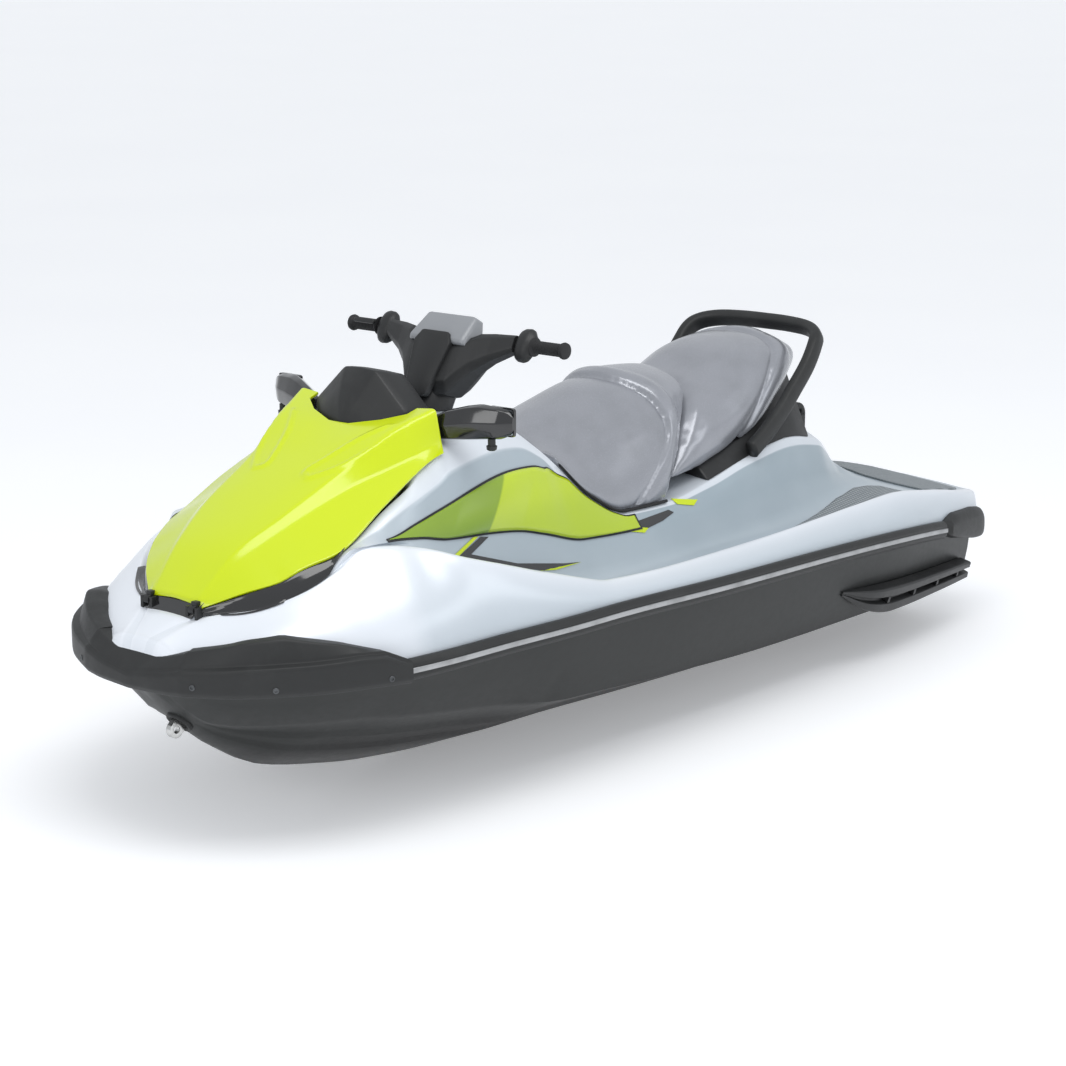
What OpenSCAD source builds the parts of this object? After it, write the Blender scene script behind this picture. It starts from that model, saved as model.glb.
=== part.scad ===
// Three-seat jet boat (runabout): hull and deck mouldings, hinged hood, steered
// handlebar, jet pump with impeller, steering nozzle and reverse bucket.
// +X is forward, +Y is port, +Z is up. The origin is amidships on the waterline.
// Lines are tables of offsets: a station number along the hull, a half-breadth as a
// share of the half beam and a height above the keel as a share of the cowl height.

/* [Main sizes] */
// Length of the hull, divided into 32 stations
hull_length = 3200; // [2900:10:3500]
// Beam over the rub rails
beam = 1180; // [1080:10:1280]
// Height of the cowl above the keel
cowl_height = 1000; // [940:5:1060]
// Draught afloat, from the keel to the waterline
draught = 280; // [200:5:320]

/* [Mouldings] */
// Wall of the hull moulding
hull_wall = 24; // [16:1:32]
// Wall of the deck moulding
deck_wall = 10; // [7:0.5:12]
// Wall of the hood
hood_wall = 8; // [5:0.5:10]
// Thickness of the side panels and trims that lie on the deck
panel_t = 4; // [2:0.5:6]
// Thickness of the traction mats
mat_t = 6; // [3:0.5:8]
// Gap between pieces that lie on each other
seat_gap = 0.3; // [0.2:0.05:0.5]
// Gap between the hood and what is round it
hood_gap = 6; // [5:0.5:10]

/* [Rub rail] */
// Height of the rub rail
rail_h = 54; // [40:1:64]
// Depth of the rub rail
rail_d = 22; // [16:1:28]
// Height of the bright insert
insert_h = 15; // [10:1:18]
// Depth that the bright insert stands proud
insert_d = 3; // [2:0.5:5]

/* [Steering] */
// Rake of the steering axis from the vertical
steer_rake = 29; // [20:1:35]
// Radius of the steering shaft
shaft_r = 16; // [12:1:20]
// Span over the ends of the grips
bar_span = 770; // [700:10:820]
// Radius of a grip
grip_r = 16; // [14:0.5:20]
// Length of a grip
grip_l = 110; // [90:5:125]

/* [Jet pump] */
// Radius of the impeller
impeller_r = 74; // [66:1:80]
// Wall of the pump housing
pump_wall = 14; // [10:1:18]
// Height of the pump's axis above the keel
pump_axis_h = 150; // [140:1:160]
// Blades on the impeller
impeller_blades = 4; // [3:1:5]
// Radius of the jet where it leaves the steering nozzle
jet_r = 42; // [36:1:46]

/* [Engine] */
// Length of the engine block
engine_l = 620; // [500:10:700]
// Width of the engine block
engine_w = 380; // [320:10:420]
// Clearance between the engine block and the deck above it
engine_clear = 67; // [40:1:110]

/* [Hidden] */

$fn = 48;
station = hull_length / 32;
half_beam = beam / 2;
// Overrun of every cut past the face that it opens
over = 5;
// Stations at which the mouldings are drawn
deck_station_shares = [-16.3, -15.6, -15, -14, -13, -12.4, -11.8, -11.2, -10.5, -9.5, -8.7, -8, -7, -6, -5,
    -4, -3, -2, -1, 0, 1, 1.8, 2.6, 3.3, 4.2, 5, 5.6, 6.2, 6.8, 7.4, 7.9, 8.2, 8.5, 8.75, 9, 9.4, 10,
    10.3, 10.7, 11, 11.3, 11.6, 11.9, 12.3, 12.6, 13, 13.4, 13.8, 14.2, 14.4, 14.7, 15, 15.3];

// Lines of the deck from the bond edge to the centre line
rail_shares = [[-16.3, .712, .290], [-15, .763, .312], [-13, .822, .342], [-10, .898, .376],
    [-6, .941, .402], [0, .966, .425], [5, .958, .441], [8, .919, .441], [10, .880, .437],
    [11.5, .825, .433], [12.8, .735, .428], [14, .598, .425], [14.8, .44, .425], [15.3, .27, .425]];
shoulder_shares = [[-16.3, .70, .345], [-15, .755, .37], [-13, .81, .402], [-10, .885, .44],
    [-6, .93, .453], [0, .955, .468], [4, .95, .485], [6, .935, .515], [8, .90, .545], [10, .85, .555],
    [11.4, .79, .545], [12.8, .69, .54], [13.8, .56, .53], [14.6, .40, .505], [15.3, .22, .475]];
crest_shares = [[-16.3, .685, .396], [-15.5, .72, .41], [-13, .775, .457], [-10.3, .797, .492],
    [-8, .822, .493], [-4, .856, .490], [0, .873, .492], [2, .881, .496], [3.7, .881, .508],
    [4.5, .873, .527], [6.2, .856, .581], [8, .825, .637], [9.5, .755, .680], [10.7, .69, .702],
    [11.3, .61, .710], [11.9, .56, .665], [12.6, .50, .622], [13.5, .37, .58], [14.3, .19, .556],
    [15.3, .12, .51]];
crest_in_shares = [[-16.3, .65, .402], [-15.5, .69, .416], [-13, .74, .463], [-10.3, .762, .497],
    [-8, .788, .498], [-4, .822, .495], [0, .838, .497], [3.7, .845, .513], [6.2, .81, .588],
    [8, .775, .645], [9.5, .71, .688], [10.7, .655, .711], [11.3, .60, .712], [11.9, .548, .66],
    [12.6, .49, .618], [13.5, .358, .577], [14.3, .18, .555], [15.3, .105, .511]];
floor_out_shares = [[-16.3, .62, .401], [-15, .66, .419], [-13, .70, .455], [-12, .712, .468],
    [-11, .719, .470], [-10, .725, .464], [-8, .746, .450], [-6, .759, .442], [-1, .783, .440],
    [2, .79, .444], [5, .763, .452], [6.2, .737, .470], [7.4, .712, .530], [9, .653, .640],
    [10, .625, .690], [10.7, .62, .708], [11.3, .585, .710], [11.9, .536, .655], [12.6, .48, .614],
    [13.5, .347, .574], [14.3, .172, .554], [15.3, .09, .511]];
floor_in_shares = [[-16.3, .50, .408], [-15, .50, .428], [-13, .49, .462], [-12, .458, .476],
    [-11, .475, .478], [-10, .508, .472], [-8, .539, .456], [-6, .551, .446], [-1, .568, .442],
    [2, .576, .446], [5, .593, .455], [6.2, .597, .480], [7.4, .595, .545], [9, .598, .655],
    [10, .59, .697], [10.7, .585, .706], [11.3, .568, .708], [11.9, .522, .651], [12.6, .469, .610],
    [13.5, .335, .571], [14.3, .162, .553], [15.3, .075, .512]];
base_shares = [[-16.3, .33, .415], [-15, .33, .438], [-13, .32, .472], [-12, .32, .496],
    [-11, .38, .512], [-10, .424, .532], [-8, .461, .545], [-6, .483, .545], [-4, .492, .54],
    [-1, .502, .54], [2.2, .51, .557], [4, .522, .605], [5, .528, .631], [6.2, .538, .648],
    [8, .555, .666], [9, .565, .688], [10.2, .575, .703], [10.7, .565, .705], [11.3, .548, .705],
    [11.9, .508, .647], [12.6, .458, .607], [13.5, .322, .569], [14.3, .153, .552], [15.3, .06, .512]];
panel_shares = [[-16.3, .25, .418], [-15, .25, .442], [-13, .25, .48], [-12, .27, .52], [-11, .335, .56],
    [-10, .39, .60], [-8, .43, .62], [-6, .45, .61], [-4, .463, .58], [-2, .468, .566], [0.2, .468, .574],
    [1.5, .455, .62], [2.6, .43, .70], [3.3, .428, .765], [4, .44, .785], [5, .462, .791], [8, .515, .745],
    [9, .535, .728], [10.3, .56, .709], [10.7, .55, .709], [11.3, .528, .700], [11.9, .497, .66],
    [12.6, .447, .63], [13.5, .313, .59], [14.3, .147, .557], [15.3, .05, .512]];
ledge_shares = [[-16.3, .19, .42], [-15, .19, .445], [-13, .19, .485], [-12, .22, .535], [-11, .305, .592],
    [-10, .364, .64], [-8, .407, .675], [-6, .42, .65], [-4, .427, .61], [-2, .44, .585], [0, .445, .59],
    [1.5, .43, .66], [2.6, .40, .76], [3.3, .37, .82], [4.2, .35, .876], [5, .37, .887], [6.2, .40, .892],
    [7.4, .425, .885], [7.9, .44, .852], [9.85, .475, .772], [11.37, .49, .692], [12.5, .425, .653],
    [12.95, .385, .630], [13.58, .29, .602], [14.2, .15, .563], [14.4, .13, .554], [15.3, .04, .512]];
crown_shares = [[-16.3, .1, .424], [-15, .1, .449], [-13, .1, .489], [-12, .12, .56], [-11, .15, .642],
    [-10, .18, .688], [-8, .21, .702], [-6, .21, .685], [-4, .21, .625], [-2, .22, .60], [0, .22, .605],
    [1.5, .22, .68], [2.6, .22, .78], [3.3, .22, .85], [4.2, .22, .905], [5, .26, .915], [6.2, .29, .922],
    [7.4, .30, .925], [8.2, .28, .915], [8.5, .30, .88], [9, .37, .55], [9.4, .40, .42], [10, .41, .39],
    [11, .42, .385], [12, .39, .40], [12.8, .31, .43], [13.4, .24, .48], [14, .12, .55], [14.4, .09, .554],
    [15.3, .02, .513]];
centre_shares = [[-16.3, 0, .425], [-15, 0, .45], [-13, 0, .49], [-12, 0, .565], [-11, 0, .652],
    [-10, 0, .695], [-8, 0, .706], [-6, 0, .69], [-4, 0, .628], [-2, 0, .602], [0, 0, .607],
    [1.5, 0, .685], [2.6, 0, .79], [3.3, 0, .86], [4.2, 0, .915], [5, 0, .925], [6.2, 0, .93],
    [7.4, 0, .93], [8.2, 0, .92], [8.5, 0, .88], [9, 0, .55], [9.4, 0, .415], [10, 0, .385],
    [11, 0, .38], [12, 0, .39], [12.8, 0, .42], [13.4, 0, .47], [14, 0, .55], [14.4, 0, .555],
    [15.3, 0, .514]];
deck_lines = [rail_shares, shoulder_shares, crest_shares, crest_in_shares, floor_out_shares,
    floor_in_shares, base_shares, panel_shares, ledge_shares, crown_shares, centre_shares];
// Places in the list of deck lines
i_floor_out = 4;
i_floor_in = 5;
i_base = 6;
i_panel = 7;
i_ledge = 8;
i_centre = 10;

// Lines of the hull from the bond edge to the keel
side_shares = [[-15.6, .725, .225], [-13, .795, .24], [-9.5, .868, .26], [0, .915, .30], [5, .89, .32],
    [8, .845, .34], [10, .785, .35], [11.57, .71, .36], [12.8, .60, .355], [14, .40, .35], [14.8, .25, .37],
    [15.3, .16, .405]];
chine_shares = [[-15.6, .70, .150], [-13, .765, .153], [-9.5, .814, .157], [-3.3, .83, .167],
    [1, .822, .186], [3.5, .805, .200], [5.2, .788, .208], [7.48, .746, .246], [10, .661, .270],
    [11.57, .576, .288], [12.8, .441, .286], [13.5, .32, .282], [14, .23, .282], [14.4, .165, .302],
    [15, .11, .365], [15.3, .09, .398]];
keel_shares = [[-15.6, .03, 0], [5, .03, 0], [8, .03, .025], [10, .028, .06], [11.85, .025, .107],
    [13, .022, .172], [13.7, .02, .221], [14.25, .02, .276], [15, .02, .356], [15.3, .02, .388]];
// Strakes on the bottom: place between the keel and the chine, and drop below the straight line
strake_shares = [[.93, 0], [.70, 0], [.66, .010], [.42, 0], [.38, .010]];

// Lines of the hood
hood_edge_shares = [[7.45, .455, .874], [7.9, .458, .864], [9.85, .49, .784], [11.37, .508, .704],
    [12.5, .44, .665], [12.95, .398, .64], [13.58, .30, .615], [14.2, .165, .577]];
hood_crease_shares = [[7.45, .44, .905], [8.5, .40, .868], [10, .33, .818], [11.85, .275, .749],
    [13.16, .203, .68], [14.2, .15, .59]];
hood_shoulder_shares = [[7.45, .41, .985], [8.5, .35, .945], [10, .28, .858], [11.85, .23, .769],
    [13.16, .17, .694], [14.2, .13, .594]];
hood_mid_shares = [[7.45, .24, .975], [8.5, .20, .942], [10, .16, .866], [11.85, .12, .774],
    [13.16, .09, .698], [14.2, .07, .597]];
hood_centre_shares = [[7.45, 0, .962], [8.2, 0, .945], [10, 0, .866], [11.85, 0, .775], [13.16, 0, .70],
    [14.2, 0, .60]];
hood_lines = [hood_edge_shares, hood_crease_shares, hood_shoulder_shares, hood_mid_shares,
    hood_centre_shares];
hood_station_shares = [7.45, 7.9, 8.5, 9.2, 10, 10.7, 11.37, 12, 12.5, 12.95, 13.3, 13.58, 13.9, 14.2];

// Lines of the two seats above the ledge that carries them
front_side_shares = [[-5, .29, .74], [-4, .355, .70], [-3, .415, .665], [-1.4, .455, .635], [0, .465, .64],
    [1.8, .455, .70], [2.6, .41, .79]];
front_shoulder_shares = [[-5, .22, .85], [-4, .27, .875], [-3, .31, .875], [-2, .33, .858], [0, .305, .818],
    [1.8, .25, .788], [2.6, .20, .798]];
front_upper_shares = [[-5, .12, .885], [-4, .15, .918], [-3, .17, .924], [-2, .18, .906], [0, .17, .860],
    [1.8, .13, .824], [2.6, .10, .818]];
front_top_shares = [[-5, 0, .90], [-3.8, 0, .936], [-2.5, 0, .938], [-1.24, 0, .918], [.53, 0, .868],
    [1.8, 0, .834], [2.6, 0, .825]];
rear_low_shares = [[-10.5, .13, .895], [-9.5, .24, .855], [-8, .33, .786], [-6.5, .37, .715],
    [-5, .38, .67], [-3.6, .39, .645], [-2, .39, .63]];
rear_side_shares = [[-10.5, .15, .905], [-9.5, .28, .89], [-8, .36, .85], [-6, .38, .80], [-4, .39, .74],
    [-2, .40, .70]];
rear_shoulder_shares = [[-10.5, .10, .915], [-9.5, .24, .930], [-8.7, .30, .932], [-7, .33, .905],
    [-5, .34, .84], [-2, .35, .80]];
rear_upper_shares = [[-10.5, .06, .922], [-9.5, .13, .958], [-8.7, .17, .966], [-7, .19, .948],
    [-5, .19, .872], [-2, .20, .84]];
rear_top_shares = [[-10.5, 0, .925], [-10, 0, .954], [-9, 0, .975], [-7.5, 0, .969], [-6.5, 0, .944],
    [-5.3, 0, .884], [-4.6, 0, .87], [-2, 0, .86]];

// Smooth reading of a table between its rows, without overshoot
function row(t, n, i = 0) = (i >= len(t) - 2 || n < t[i + 1][0]) ? i : row(t, n, i + 1);
function chord(t, i, c) = (t[i + 1][c] - t[i][c]) / (t[i + 1][0] - t[i][0]);
function grade(t, i, c) =
    i == 0 ? chord(t, 0, c) :
    i == len(t) - 1 ? chord(t, i - 1, c) :
    let (a = chord(t, i - 1, c), b = chord(t, i, c)) a * b <= 0 ? 0 : 2 * a * b / (a + b);
function fair(t, n, c) =
    let (i = row(t, n), h = t[i + 1][0] - t[i][0], u = max(0, min(1, (n - t[i][0]) / h)), v = 1 - u)
    t[i][c] * (1 + 2 * u) * v * v + grade(t, i, c) * h * u * v * v
    + t[i + 1][c] * u * u * (1 + 2 * v) - grade(t, i + 1, c) * h * v * u * u;
function at(t, n) = [half_beam * fair(t, n, 1), cowl_height * fair(t, n, 2)];
function mix(a, b, u) = a + (b - a) * u;
function unit(v) = v / norm(v);

// Offsets of a half section: the way out of the surface at each of its points
function out_at(p, i) =
    let (a = p[max(0, i - 1)], b = p[min(len(p) - 1, i + 1)], d = unit(b - a))
    i == len(p) - 1 ? [0, 1] : [d[1], -d[0]];
function grown(p, g) = [for (i = [0 : len(p) - 1]) p[i] + out_at(p, i) * g];
// Slope of a line along the hull, so that a wall keeps its thickness on steep runs
slope_step_share = 0.05;
slope_limit_share = 4;
function steep(t, n) =
    let (rise = (fair(t, n + slope_step_share, 2) - fair(t, n - slope_step_share, 2)) * cowl_height,
        run = 2 * slope_step_share * station, s = rise / run)
    min(slope_limit_share, sqrt(1 + s * s));

function mirrored(p) = [for (i = [len(p) - 1 : -1 : 0]) [-p[i][0], p[i][1]]];
function whole(p) = concat(p, mirrored([for (i = [0 : len(p) - 2]) p[i]]));
function backwards(p) = [for (i = [len(p) - 1 : -1 : 0]) p[i]];
function ring(p, n) = [for (q = p) [station * n, q[0], q[1]]];

// End of a ring, in strips between the points that run out and those that run back
function cap(m) = [for (i = [0 : ceil(m / 2) - 2])
    let (j = m - 1 - i)
    each i + 2 == j ? [[i, i + 1, j]] : [[i, i + 1, j], [i + 1, j - 1, j]]];
// Solid through a list of rings, each quad split along its shorter diagonal
module loft(rings) {
    m = len(rings[0]);
    points = [for (r = rings) each r];
    last = (len(rings) - 1) * m;
    sides = [for (j = [0 : len(rings) - 2]) for (i = [0 : m - 1])
        let (k = (i + 1) % m, a = j * m + i, b = j * m + k, c = a + m, d = b + m)
        each norm(points[a] - points[d]) < norm(points[b] - points[c])
            ? [[a, d, b], [a, c, d]] : [[a, c, b], [b, c, d]]];
    near = cap(m);
    far = [for (f = near) [last + f[0], last + f[2], last + f[1]]];
    polyhedron(points = points, faces = concat(near, far, sides), convexity = 10);
}
module both() {
    children();
    mirror([0, 1, 0]) children();
}
module afloat() {
    translate([0, 0, -draught]) children();
}
// Solid along X between two ends, its section given as half width and two heights
module slab(x0, x1, y0, y1, h0, h1) {
    translate([x0, y0, h0]) cube([x1 - x0, y1 - y0, h1 - h0]);
}
module rod_x(x0, x1, y, h, r) {
    translate([x0, y, h]) rotate([0, 90, 0]) cylinder(h = x1 - x0, r = r);
}
module rod_y(x, y0, y1, h, r) {
    translate([x, y1, h]) rotate([90, 0, 0]) cylinder(h = y1 - y0, r = r);
}

// Deck sections
function deck_half(n) = [for (t = deck_lines) at(t, n)];
fill_bow_share = 14.6;
fill_stern_share = -14.6;
function deck_inner(n) =
    let (p = deck_half(n), filled = n >= fill_bow_share || n <= fill_stern_share)
    [for (i = [0 : len(p) - 1])
        i == 0 ? [p[0][0] - deck_wall, p[0][1]] :
        filled ? [p[i][0] * (1 - 2 * deck_wall / half_beam), p[0][1] + deck_wall] :
        p[i] - out_at(p, i) * deck_wall * steep(deck_lines[i], n)];
// The moulding is in a middle and two sides, which meet at the inner edge of the footwell floors
function deck_middle(n) =
    let (p = deck_half(n), q = deck_inner(n), d = [seat_gap, 0])
    ring(concat(whole([for (i = [i_floor_in : i_centre]) i == i_floor_in ? p[i] - d : p[i]]),
        backwards(whole([for (i = [i_floor_in : i_centre]) i == i_floor_in ? q[i] - d : q[i]]))), n);
function deck_side(n) =
    let (p = deck_half(n), q = deck_inner(n))
    ring(concat([for (i = [0 : i_floor_in]) p[i]], [for (i = [i_floor_in : -1 : 0]) q[i]]), n);
function within(lo, hi) = [for (n = deck_station_shares) if (n >= lo && n <= hi) n];
// Block that fills the deck down to the bond edge, grown for what lies against it
module deck_block(g) {
    loft([for (n = deck_station_shares)
        let (p = grown(deck_half(n), g), foot = [for (q = p) [q[0], p[0][1] - over]])
        ring(concat(whole(p), backwards(whole(foot))), n)]);
}
// Skin between two lines of the deck, from one height above it to another
function strip_out(p, i) =
    let (d = unit(p[min(len(p) - 1, i + 1)] - p[max(0, i - 1)])) [d[1], -d[0]];
function deck_strip(n, a, b, lo, hi) =
    let (t = deck_half(n), p = [for (i = [a : b]) t[i]],
        f = function (g) [for (i = [0 : b - a]) p[i] + strip_out(p, i) * g])
    ring(concat(f(hi), backwards(f(lo))), n);

// Hull sections
hull_station_shares = within(-15.6, 15.3);
function hull_half(n) =
    let (e = at(rail_shares, n) - [0, seat_gap], c = at(chine_shares, n), k = at(keel_shares, n))
    concat([e, at(side_shares, n), c],
        [for (s = strake_shares) [mix(k[0], c[0], s[0]), mix(k[1], c[1], s[0]) - s[1] * cowl_height
            * min(1, (c[1] - k[1]) / cowl_height / strake_fade_share)]],
        [k, [0, k[1]]]);
strake_fade_share = .12;
hull_fill_bow_share = 13.8;
hull_fill_stern_share = -6;
function hull_inner(n) =
    let (p = hull_half(n), e = p[0], filled = n >= hull_fill_bow_share || n <= hull_fill_stern_share)
    [for (i = [0 : len(p) - 1])
        i == 0 ? [e[0] - hull_wall * .5, e[1]] :
        filled ? [p[i][0] * (1 - hull_wall / half_beam), e[1] - deck_wall] :
        i == len(p) - 1 ? [0, p[i][1] + hull_wall] :
        p[i] + out_at(p, i) * hull_wall];
function hull_ring(n) = ring(backwards(concat(whole(hull_half(n)), backwards(whole(hull_inner(n))))), n);
// Block that fills the hull up to the bond edge, grown for what lies against it
module hull_block(g) {
    loft([for (n = hull_station_shares)
        let (p = grown(hull_half(n), -g), top = [for (q = p) [q[0], p[0][1] + over]])
        ring(backwards(concat(whole(p), backwards(whole(top)))), n)]);
}
// Point on the bond edge moved out in plan and up
plan_step_share = 0.05;
function plan_out(n) =
    let (s = plan_step_share, dy = half_beam * (fair(rail_shares, n + s, 1) - fair(rail_shares, n - s, 1)),
        d = unit([2 * plan_step_share * station, dy])) [-d[1], d[0]];
function on_rail(n, u, v) =
    let (e = at(rail_shares, n), o = plan_out(n)) [station * n + o[0] * u, e[0] + o[1] * u, e[1] + v];

transom_x = station * hull_station_shares[0];

// Jet pump places
tunnel_front = station * -10.8;
tunnel_half_w = 150;
tunnel_top_h = 275;
impeller_gap = 1.5;
bore_r = impeller_r + impeller_gap;
pump_out_r = bore_r + pump_wall;
pump_l = 250;
flange_t = 12;
flange_lip = 18;
intake_tilt = 28;
intake_l = 620;
drive_r = 14;
drive_gap = 3;
run_gap = 0.05;
drive_front = station * -4.85;
engine_back = station * -4.7;
bearer_h = 105;
engine_h = cowl_height * .602 - deck_wall - engine_clear - bearer_h;
bearer_in = 150;
bearer_out = 190;
grate_back = station * -9.6;
grate_front = station * -6.4;
grate_half_w = 86;
grate_h = 44;

module hull_shell() {
    color([.20, .205, .20]) afloat() difference() {
        union() {
            loft([for (n = hull_station_shares) hull_ring(n)]);
            intersection() {
                both() slab(engine_back, engine_back + engine_l, bearer_in, bearer_out, 0, bearer_h);
                hull_block(-over);
            }
        }
        slab(transom_x - over, tunnel_front, -tunnel_half_w, tunnel_half_w, -over, tunnel_top_h);
        translate([tunnel_front, 0, pump_axis_h]) rotate([0, 90 + intake_tilt, 0])
            translate([0, 0, -bore_r]) cylinder(h = intake_l, r = bore_r);
        rod_x(tunnel_front - over, drive_front + over, 0, pump_axis_h, drive_r + drive_gap);
        slab(grate_back, grate_front, -grate_half_w, grate_half_w, -over, grate_h);
    }
}

module deck() {
    color([.86, .88, .90]) afloat() loft([for (n = deck_station_shares) deck_middle(n)]);
}
module deck_sides() {
    color([.86, .88, .90]) afloat() both() loft([for (n = deck_station_shares) deck_side(n)]);
}

// Engine as one plain block on its two bearers
module engine() {
    color([.30, .30, .32]) afloat()
        slab(engine_back, engine_back + engine_l, -engine_w / 2, engine_w / 2, bearer_h + seat_gap,
            bearer_h + seat_gap + engine_h);
}

rail_stations = within(-13, 11.3);
module rub_rails() {
    color([.07, .07, .075]) afloat() both() loft([for (n = rail_stations)
        [on_rail(n, seat_gap, -rail_h / 2), on_rail(n, rail_d * .6, -rail_h / 2),
            on_rail(n, rail_d, -rail_h * .3), on_rail(n, rail_d, rail_h * .3),
            on_rail(n, rail_d * .6, rail_h / 2), on_rail(n, seat_gap, rail_h / 2)]]);
}
module rail_inserts() {
    color([.62, .64, .66]) afloat() both() loft([for (n = rail_stations)
        [on_rail(n, rail_d + seat_gap, -insert_h / 2), on_rail(n, rail_d + insert_d, -insert_h * .4),
            on_rail(n, rail_d + insert_d, insert_h * .4), on_rail(n, rail_d + seat_gap, insert_h / 2)]]);
}

// Bow bumper: slices round the bow, trimmed to the mouldings
bumper_depth = 34;
bumper_in = 70;
bumper_drop = 42;
slice_t = 0.5;
// Station, and rise of its upper edge above the bond edge as a share of the cowl height
bumper_shares = [[11.33, .055], [11.9, .075], [12.6, .097], [13.4, .11], [14.2, .105], [14.7, .075],
    [15, .055], [15.3, .046]];
function bumper_profile(v) = [[-bumper_in, v - bumper_depth * .2], [-bumper_in * .5, v],
    [bumper_depth * .2, v * .72], [bumper_depth * .9, v * .25], [bumper_depth, 0],
    [bumper_depth * .7, -bumper_drop * .8], [0, -bumper_drop], [-bumper_in, -bumper_drop]];
module bumper_slice(n, v) {
    o = plan_out(n);
    translate(on_rail(n, 0, 0)) rotate([90, 0, atan2(o[1], o[0])]) linear_extrude(slice_t)
        polygon(bumper_profile(v));
}
module bow_bumper() {
    color([.06, .06, .065]) afloat() difference() {
        union() {
            both() for (i = [0 : len(bumper_shares) - 2]) hull() {
                bumper_slice(bumper_shares[i][0], bumper_shares[i][1] * cowl_height);
                bumper_slice(bumper_shares[i + 1][0], bumper_shares[i + 1][1] * cowl_height);
            }
            hull() both() bumper_slice(bumper_shares[7][0], bumper_shares[7][1] * cowl_height);
        }
        deck_block(seat_gap);
        hull_block(seat_gap);
    }
}

// Stern bumpers round the two corners
stern_d = 30;
stern_rise = 62;
stern_drop = 40;
stern_x = station * -16.3;
stern_in = 30;
stern_profile = [[-stern_in, -stern_drop], [stern_d * .7, -stern_drop], [stern_d, -stern_drop * .5],
    [stern_d, stern_rise * .6], [stern_d * .4, stern_rise], [-stern_in, stern_rise]];
stern_bumper_shares = [-13.03, -13.6, -14.4, -15.2, -16];
corner_y_shares = [.67, .58, .42];
stern_corner_share = 1.7;
module stern_slice(p, a, deep) {
    translate(p) rotate([90, 0, a]) linear_extrude(slice_t)
        polygon([for (q = stern_profile) [q[0] > 0 ? q[0] * deep : q[0], q[1]]]);
}
corner_turn = 140;
aft_turn = 180;
module stern_bumpers() {
    corner_h = at(rail_shares, -16.3)[1];
    places = concat(
        [for (n = stern_bumper_shares) let (o = plan_out(n)) [on_rail(n, 0, 0), atan2(o[1], o[0]), 1]],
        [[[stern_x, half_beam * corner_y_shares[0], corner_h], corner_turn, stern_corner_share],
            [[stern_x, half_beam * corner_y_shares[1], corner_h], aft_turn, stern_corner_share],
            [[stern_x, half_beam * corner_y_shares[2], corner_h], aft_turn, stern_corner_share]]);
    color([.06, .06, .065]) afloat() difference() {
        both() for (i = [0 : len(places) - 2]) hull() {
            stern_slice(places[i][0], places[i][1], places[i][2]);
            stern_slice(places[i + 1][0], places[i + 1][1], places[i + 1][2]);
        }
        deck_block(seat_gap);
        hull_block(seat_gap);
    }
}

// Eyes for lines and trailers
eye_t = 16;
eye_r = 24;
eye_bore_r = 10;
// The bow eye stands out from the stem, square to its rake
bow_eye_at_share = 14.2;
bow_eye_out = 23;
stem_rake = 46.5;
stem_ease = 0.15;
bow_eye_x = station * bow_eye_at_share + bow_eye_out * sin(stem_rake);
bow_eye_h = at(keel_shares, bow_eye_at_share)[1] - bow_eye_out * cos(stem_rake);
module bow_eye() {
    color([.75, .76, .78]) afloat() difference() {
        union() {
            rod_y(bow_eye_x, -eye_t / 2, eye_t / 2, bow_eye_h, eye_r * .9);
            translate([bow_eye_x, 0, bow_eye_h]) rotate([0, -stem_rake, 0])
                slab(-eye_r * .9, eye_r * .9, -eye_t / 2, eye_t / 2, 0,
                    bow_eye_out - seat_gap - stem_ease);
        }
        rod_y(bow_eye_x, -eye_t, eye_t, bow_eye_h, eye_bore_r);
    }
}
stern_eye_y = half_beam * .55;
stern_eye_h = cowl_height * .22;
module stern_eyes() {
    x = transom_x - eye_r * 1.3;
    y0 = stern_eye_y - eye_t / 2;
    color([.75, .76, .78]) afloat() both() difference() {
        union() {
            rod_y(x, y0, y0 + eye_t, stern_eye_h, eye_r);
            slab(x, transom_x - seat_gap, y0, y0 + eye_t, stern_eye_h - eye_r, stern_eye_h + eye_r);
        }
        rod_y(x, stern_eye_y - eye_t, stern_eye_y + eye_t, stern_eye_h, eye_bore_r);
    }
}

module side_panels() {
    color([.78, .85, .03]) afloat() both()
        loft([for (n = within(0, 10.3)) deck_strip(n, i_base, i_panel, seat_gap, seat_gap + panel_t)]);
}
function liner_half(n, g) =
    let (p = deck_half(n)) [for (i = [i_ledge : i_centre]) p[i] + out_at(p, i) * g];
module storage_liner() {
    color([.10, .10, .105]) afloat() loft([for (n = within(9, 13.4))
        ring(concat(whole(liner_half(n, seat_gap + panel_t)),
            backwards(whole(liner_half(n, seat_gap)))), n)]);
}

// Meter cover on the console ahead of the handlebar
// Station, half width and height of its waist, half width and height of its top
meter_shares = [[6.8, .27, .965, .125, 1.045], [7.4, .275, .975, .12, 1.06], [7.9, .265, .975, .11, 1.066],
    [8.2, .23, .955, .09, 1.01], [8.5, .16, .905, .06, .93]];
module meter_cover() {
    color([.05, .05, .055]) afloat() loft([for (m = meter_shares)
        let (p = liner_half(m[0], seat_gap), top = [p[1], [half_beam * m[1], cowl_height * m[2]],
            [half_beam * m[3], cowl_height * m[4]], [0, cowl_height * m[4]]])
        ring(concat(whole(top), [[0, p[2][1]]]), m[0])]);
}
display_half_w = 62;
display_t = 6;
module meter_display() {
    color([.02, .03, .05]) afloat() slab(station * 6.8 - seat_gap - display_t, station * 6.8 - seat_gap,
        -display_half_w, display_half_w, cowl_height * .972, cowl_height * 1.03);
}

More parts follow.
